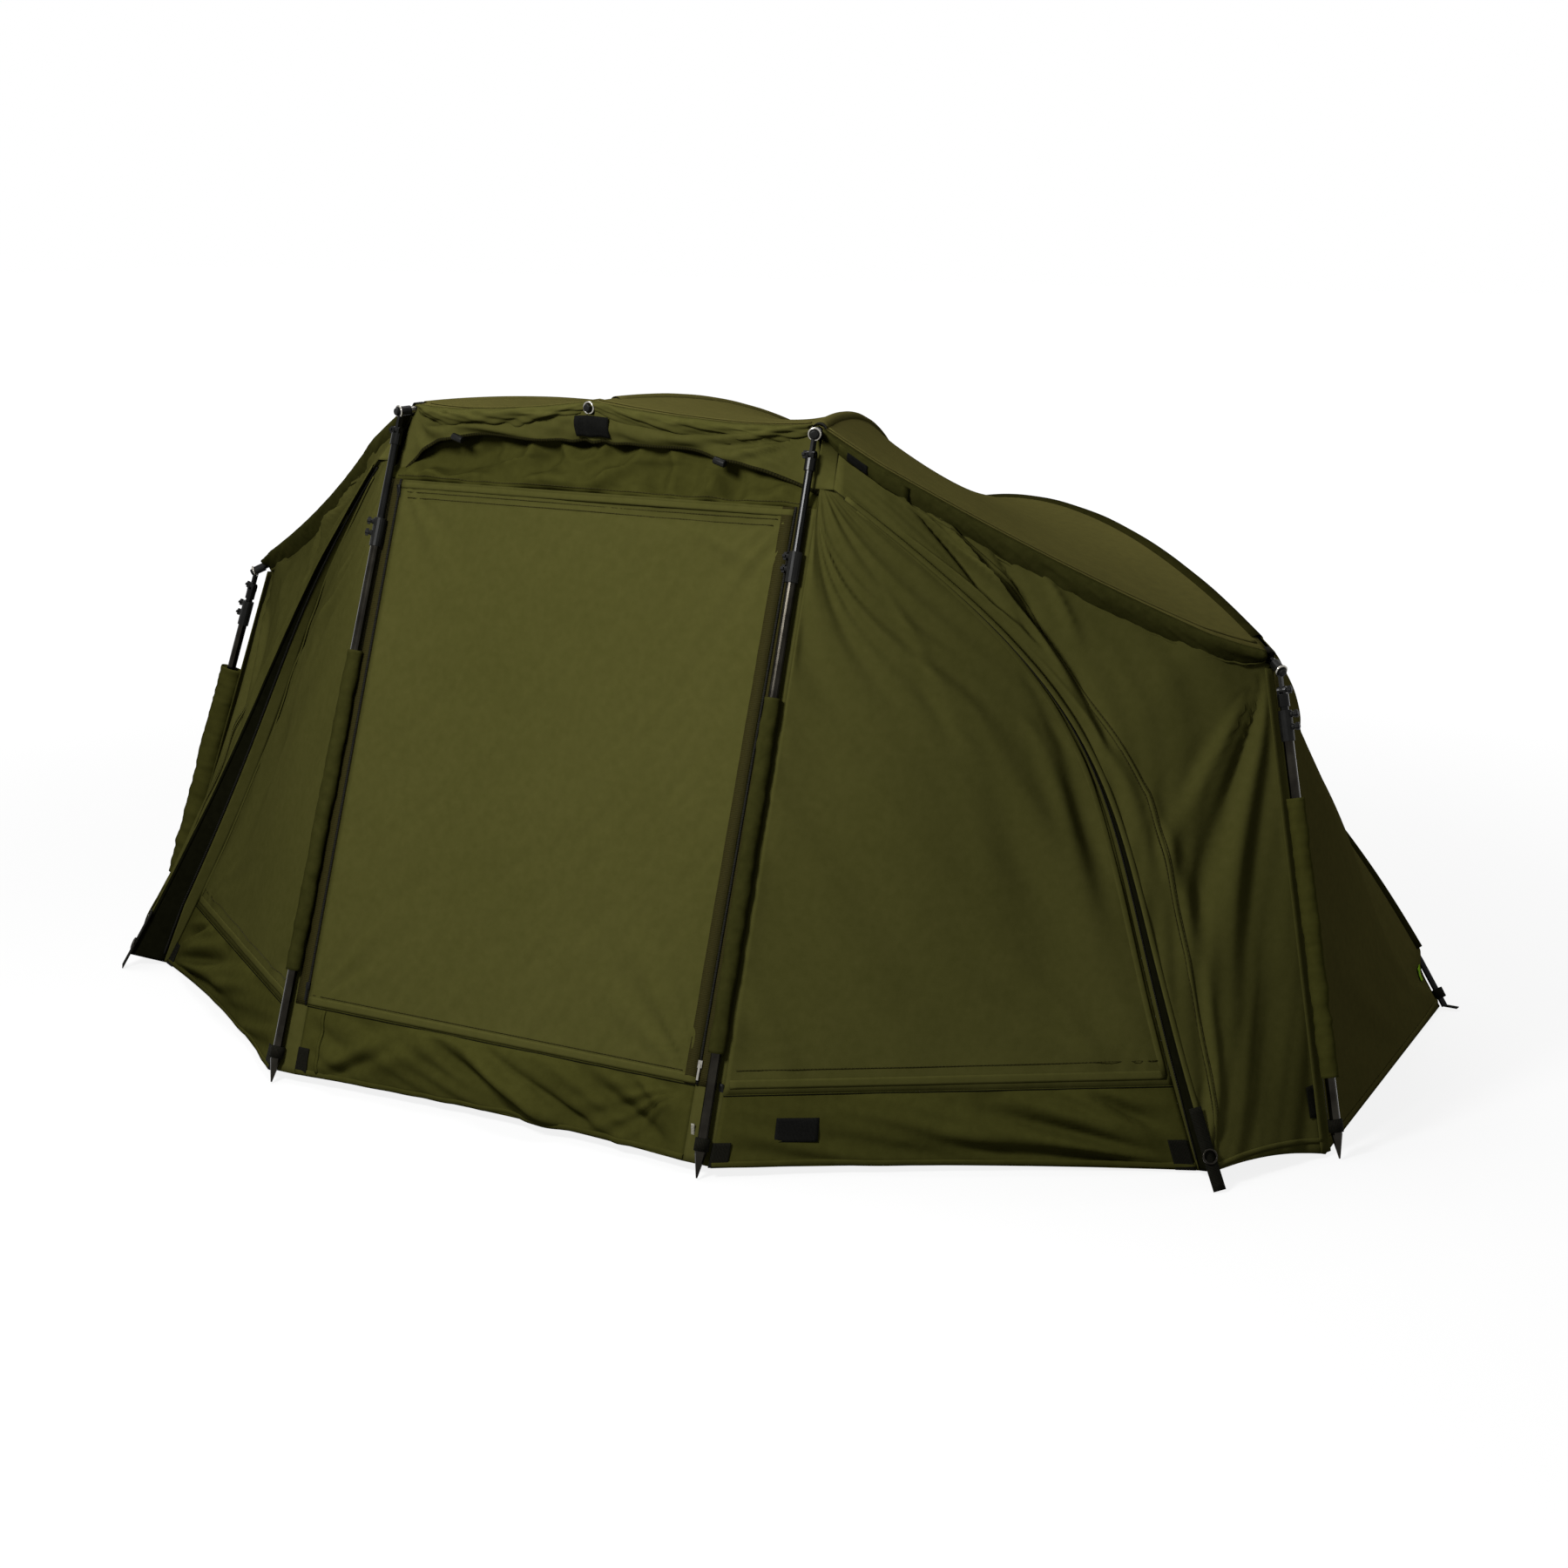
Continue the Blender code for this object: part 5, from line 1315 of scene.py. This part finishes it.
def build_seams():
    """Lapped seams and hems, sewn on the panels that they edge."""
    sew_straight(FRONT_SEAMS)
    seam = through(*WING_SEAM_SHARES)
    for key, flip in SIDES:
        wing = side_panel(WING, key)
        sew_straight(WALL_SEAMS, key)
        sewn("wing_seam_" + key, wing, seam, 0.008, COVER, 120, crown=0.0012)
        for place, shift in (("upper", STITCH_SHIFT_SHARE), ("lower", -STITCH_SHIFT_SHARE)):
            sewn(f"wing_stitch_{place}_{key}", wing, shifted(seam, shift), 0.002, THREAD, 120)
        tape("pole_seam_" + key, lambda share, flip=flip: pole_seam(0.01 + 0.985 * share) * flip,
             towards(POLE_OUT * flip), 0.036, COVER, 60, over=0.001, crown=0.002)
        sew_straight(EDGE_SEAMS, key)
    sew_straight(MIDDLE_EDGE_SEAMS)


def front_zip(side, beside):
    """A path up the centre door's right edge, side 1, or its left one, side -1, at a distance beside it."""
    def path(share):
        height = DOOR_BOTTOM_Z + (DOOR_TOP_Z - DOOR_BOTTOM_Z) * share
        return wall_point(side * (DOOR_HALF_WIDTH + beside), height)
    return path


def build_zips():
    """The tape and the coil of the centre door's two zips. The tape is drawn wide and dark: zip tape with
    painted shade beside the inner poles.
    """
    out = towards(WALL_OUT)
    for key, flip in SIDES:
        tape("front_zip_tape_" + key, front_zip(flip.x, ZIP_BESIDE_DOOR + ZIP_TAPE_BESIDE_COIL), out, 0.030,
             ZIP_TAPE_AND_SHADE, 60)
        tape("front_zip_coil_" + key, front_zip(flip.x, ZIP_BESIDE_DOOR), out, 0.0055, ZIP_COIL, 60,
             crown=0.0015, over=0.0020)


def pull(name, top, length, width, material, thickness):
    """A short tab that hangs on the front wall."""
    tape(name, between(top, top - UP * length), towards(WALL_OUT), width, material, 6, thickness=thickness)


def build_fittings():
    """Eyelets on the rib tips, blank labels, corner patches, toggles and zip pulls."""
    for key in ("front_centre", "inner_right", "inner_left", "outer_right", "outer_left"):
        rib = RIBS[key]
        axis = (rib.tip - rib.point(EDGE_SHARE)).normalized()
        reach = FRONT_EYELET_REACH if key == "front_centre" else EYELET_REACH
        ring("tip_eyelet_" + key, rib.tip + axis * reach, axis, EYELET_RADIUS, EYELET_WIRE, NICKEL)
        stud("tip_cap_" + key, rib.tip + axis * (reach + TIP_CAP_GAP), axis, TIP_CAP_RADIUS, TIP_CAP_LENGTH)
        if key != "front_centre":
            middle = rib.point(TIP_BAND_SHARE)
            band("tip_webbing_" + key, middle, rib.direction(TIP_BAND_SHARE), 0.0125, 0.018)
    patch("label_peak", PEAK, (0.506, 0.623), 0.080, 0.046, PATCH)
    patch("label_skirt", SIDE_SKIRT, (0.169, 0.521), 0.080, 0.048, PATCH)
    patch("lip_tab", CORNER_LIP, (0.12, 0.46), 0.150, 0.036, MID_SHADE_CLOTH)
    patch("label_lip", CORNER_LIP, (0.085, 0.46), 0.044, 0.024, PATCH, over=0.0028, rest=(0.12, 0.46))
    patch("bright_tab", ROOF_SIDE, (0.938, 0.942), 0.016, 0.045, GLOW)
    for name, share in (("left", 0.18), ("right", 0.80)):
        place = PEAK.at(share, 0.97, 0.012)
        stud("toggle_" + name, place, (RIGHT - UP * 0.3).normalized(), TOGGLE_RADIUS, TOGGLE_LENGTH)
    patch("front_skirt_corner", FRONT_SKIRT, (0.012, 0.22), 0.030, 0.050, WEBBING)
    pull("pull_white", wall_point(DOOR_HALF_WIDTH + 0.012, 0.085, 0.004), 0.034, 0.007, PALE, 0.0020)
    head = wall_point(-DOOR_HALF_WIDTH - ZIP_BESIDE_DOOR, DOOR_TOP_Z - 0.012, 0.006)
    pull("pull_door_head", head, 0.040, 0.008, PLASTIC, 0.0020)


def build_pegging():
    """Straps and rings at the wings' pegs, webbing round the feet, and the side doors' zip pulls."""
    top = wall_point(strip_edge_x(SIDE_PULL_EDGE_Z) - SIDE_PULL_INSET, SIDE_PULL_Z, 0.002)
    for key, flip in SIDES:
        skirt, wing = side_panel(SIDE_SKIRT, key), side_panel(WING, key)
        patch("side_skirt_front_corner_" + key, skirt, (0.014, 0.18), 0.034, 0.050, WEBBING)
        patch("side_skirt_rear_corner_" + key, skirt, (0.975, 0.17), 0.036, 0.050, WEBBING)
        patch("wing_corner_" + key, wing, (0.955, 0.945), 0.030, 0.055, WEBBING)

        def strap(share, flip=flip):
            return flap_edge(STRAP_START_SHARE + (1.0 - STRAP_START_SHARE) * share) * flip
        out = (SIDE_OUT + RIGHT * PEG_TURN_SHARE).normalized() * flip
        tape("peg_strap_" + key, strap, towards(out), 0.024, WEBBING, 14, over=0.003,
             thickness=WEBBING_THICKNESS)
        ring("peg_ring_" + key, strap(STRAP_RING_SHARE) + out * PEG_RING_OUT, (out + UP * 0.5).normalized(),
             PEG_RING_RADIUS, PEG_RING_WIRE, LOWER_TUBE)
        pull("side_pull_" + key, top * flip, 0.045, 0.009, PLASTIC, 0.0025)
        for pole, foot, tip in (("inner_", INNER_FOOT, INNER_TIP), ("outer_", OUTER_FOOT, OUTER_TIP)):
            line = ((tip - foot) * flip).normalized()
            band("foot_webbing_" + pole + key, foot * flip + line * FOOT_BAND_RISE, line, 0.0122, 0.024)
        for place in ("rear_", "back_"):
            rib = RIBS[place + key]
            middle = rib.point(FOOT_BAND_SHARE)
            band("foot_webbing_" + place + key, middle, rib.direction(FOOT_BAND_SHARE), 0.0100, 0.022)
            start = rib.tip - UP * FOOT_LOOP_DROP
            end = start + level(rib.along) * FOOT_LOOP_REACH
            tape("foot_loop_" + place + key, between(start, end), towards(UP), 0.014, WEBBING, 6,
                 thickness=WEBBING_THICKNESS)


# Scene

def build_stage():
    """A pale floor that shows white but keeps the tent's shadow, in front of a white surround."""
    bpy.ops.mesh.primitive_plane_add(size=FLOOR_SIZE, location=(0.0, 0.0, -FLOOR_DROP))
    floor = bpy.context.object
    floor.name = "floor"
    material, tree, shader, place = start_material("pale_floor")
    seen = seen_rays(tree)
    tone = add_node(tree, "ShaderNodeMapRange", {"Value": (seen, 0), "To Min": FLOOR_SHADE, "To Max": 1.0})
    set_sockets(shader, {"Base Color": (tone, 0), "Roughness": 0.9, "Specular IOR Level": 0.0})
    glow = add_node(tree, "ShaderNodeEmission", {"Color": srgb("#ffffff"), "Strength": FLOOR_GLOW})
    away = add_node(tree, "ShaderNodeVectorMath", {0: (place, "Object")}, operation="LENGTH")
    far = add_node(
        tree, "ShaderNodeMapRange",
        {"Value": (away, "Value"), "From Min": GLOW_NEAR, "From Max": GLOW_FAR, "To Min": FLOOR_GLOW_SHARE,
         "To Max": 1.0},
    )
    share = add_node(tree, "ShaderNodeMath", {0: (seen, 0), 1: (far, 0)}, operation="MULTIPLY")
    mixed = add_node(tree, "ShaderNodeMixShader", {0: (share, 0), 1: (shader, 0), 2: (glow, 0)})
    set_sockets(tree.nodes["Material Output"], {"Surface": (mixed, 0)})
    floor.data.materials.append(material)
    world = bpy.data.worlds.new("studio")
    bpy.context.scene.world = world
    world.use_nodes = True
    tree = world.node_tree
    tree.nodes.clear()
    ambient = add_node(tree, "ShaderNodeBackground", {"Color": srgb("#ffffff"), "Strength": AMBIENT})
    white = add_node(tree, "ShaderNodeBackground", {"Color": srgb("#ffffff"), "Strength": 1.0})
    mixed = add_node(tree, "ShaderNodeMixShader", {0: (seen_rays(tree), 0), 1: (ambient, 0), 2: (white, 0)})
    add_node(tree, "ShaderNodeOutputWorld", {"Surface": (mixed, 0)})


def seen_rays(tree):
    """1 for rays from the camera, and for those that it sees in gloss or through glass."""
    rays = add_node(tree, "ShaderNodeLightPath")
    direct = add_node(tree, "ShaderNodeMath", {0: (rays, "Is Camera Ray"), 1: (rays, "Is Glossy Ray")},
                      operation="MAXIMUM")
    return add_node(tree, "ShaderNodeMath", {0: (direct, 0), 1: (rays, "Is Transmission Ray")},
                    operation="MAXIMUM")


def add_lamp(name, place, target, size, level_at_target):
    """A round lamp that lights a white surface at its target, turned to it, to a share of full white."""
    lamp = bpy.data.lights.new(name, "AREA")
    lamp.shape = "DISK"
    lamp.size = size
    away = Vector(place) - Vector(target)
    lamp.energy = level_at_target * LAMP_WATTS * away.length_squared
    holder = bpy.data.objects.new(name, lamp)
    bpy.context.scene.collection.objects.link(holder)
    holder.location = place
    holder.rotation_euler = away.to_track_quat("Z", "Y").to_euler()


def build_lights():
    """A near lamp before the door, so that the sides fall off in shade, one above the roof, one beside."""
    add_lamp("key", (0.05, -3.40, 2.70), (0.0, -1.0, 0.65), 0.8, 0.94)
    add_lamp("top", (-0.70, -0.20, 4.20), (0.20, -0.20, 1.1), 2.0, 0.62)
    add_lamp("side", (3.80, 3.00, 2.20), (1.4, 0.20, 0.6), 1.5, 0.12)


def build_camera():
    lens = bpy.data.cameras.new("photo_camera")
    lens.lens = LENS_MM
    lens.sensor_width = SENSOR_MM
    camera = bpy.data.objects.new("photo_camera", lens)
    bpy.context.scene.collection.objects.link(camera)
    camera.location = CAMERA_PLACE
    tilt = math.radians(90.0 - CAMERA_DOWN_DEGREES)
    camera.rotation_euler = (tilt, 0.0, math.radians(CAMERA_TURN_DEGREES))
    bpy.context.scene.camera = camera


FRAME_FINISHES = (
    ("rib_inner", BRIGHT_TUBE), ("rib_", TUBE), ("lower_tube", LOWER_TUBE), ("upper_tube", TUBE),
    ("zip_slider_right", NICKEL),
)


def dress_frame():
    """Finishes of the hard parts that the frame brings. What the table doesn't name is moulded nylon."""
    for name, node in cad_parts.items():
        finish = next((made for start, made in FRAME_FINISHES if name.startswith(start)), PLASTIC)
        node.data.materials.clear()
        node.data.materials.append(finish)


build_camera()
build_stage()
build_lights()
dress_frame()
build_panels()
build_sleeves()
cloth("crown_patch", Panel(crown_point, UP), 32, 10, ROOF, wrap=True)
build_seams()
build_zips()
build_fittings()
build_pegging()

bpy.context.scene.view_settings.view_transform = "Standard"
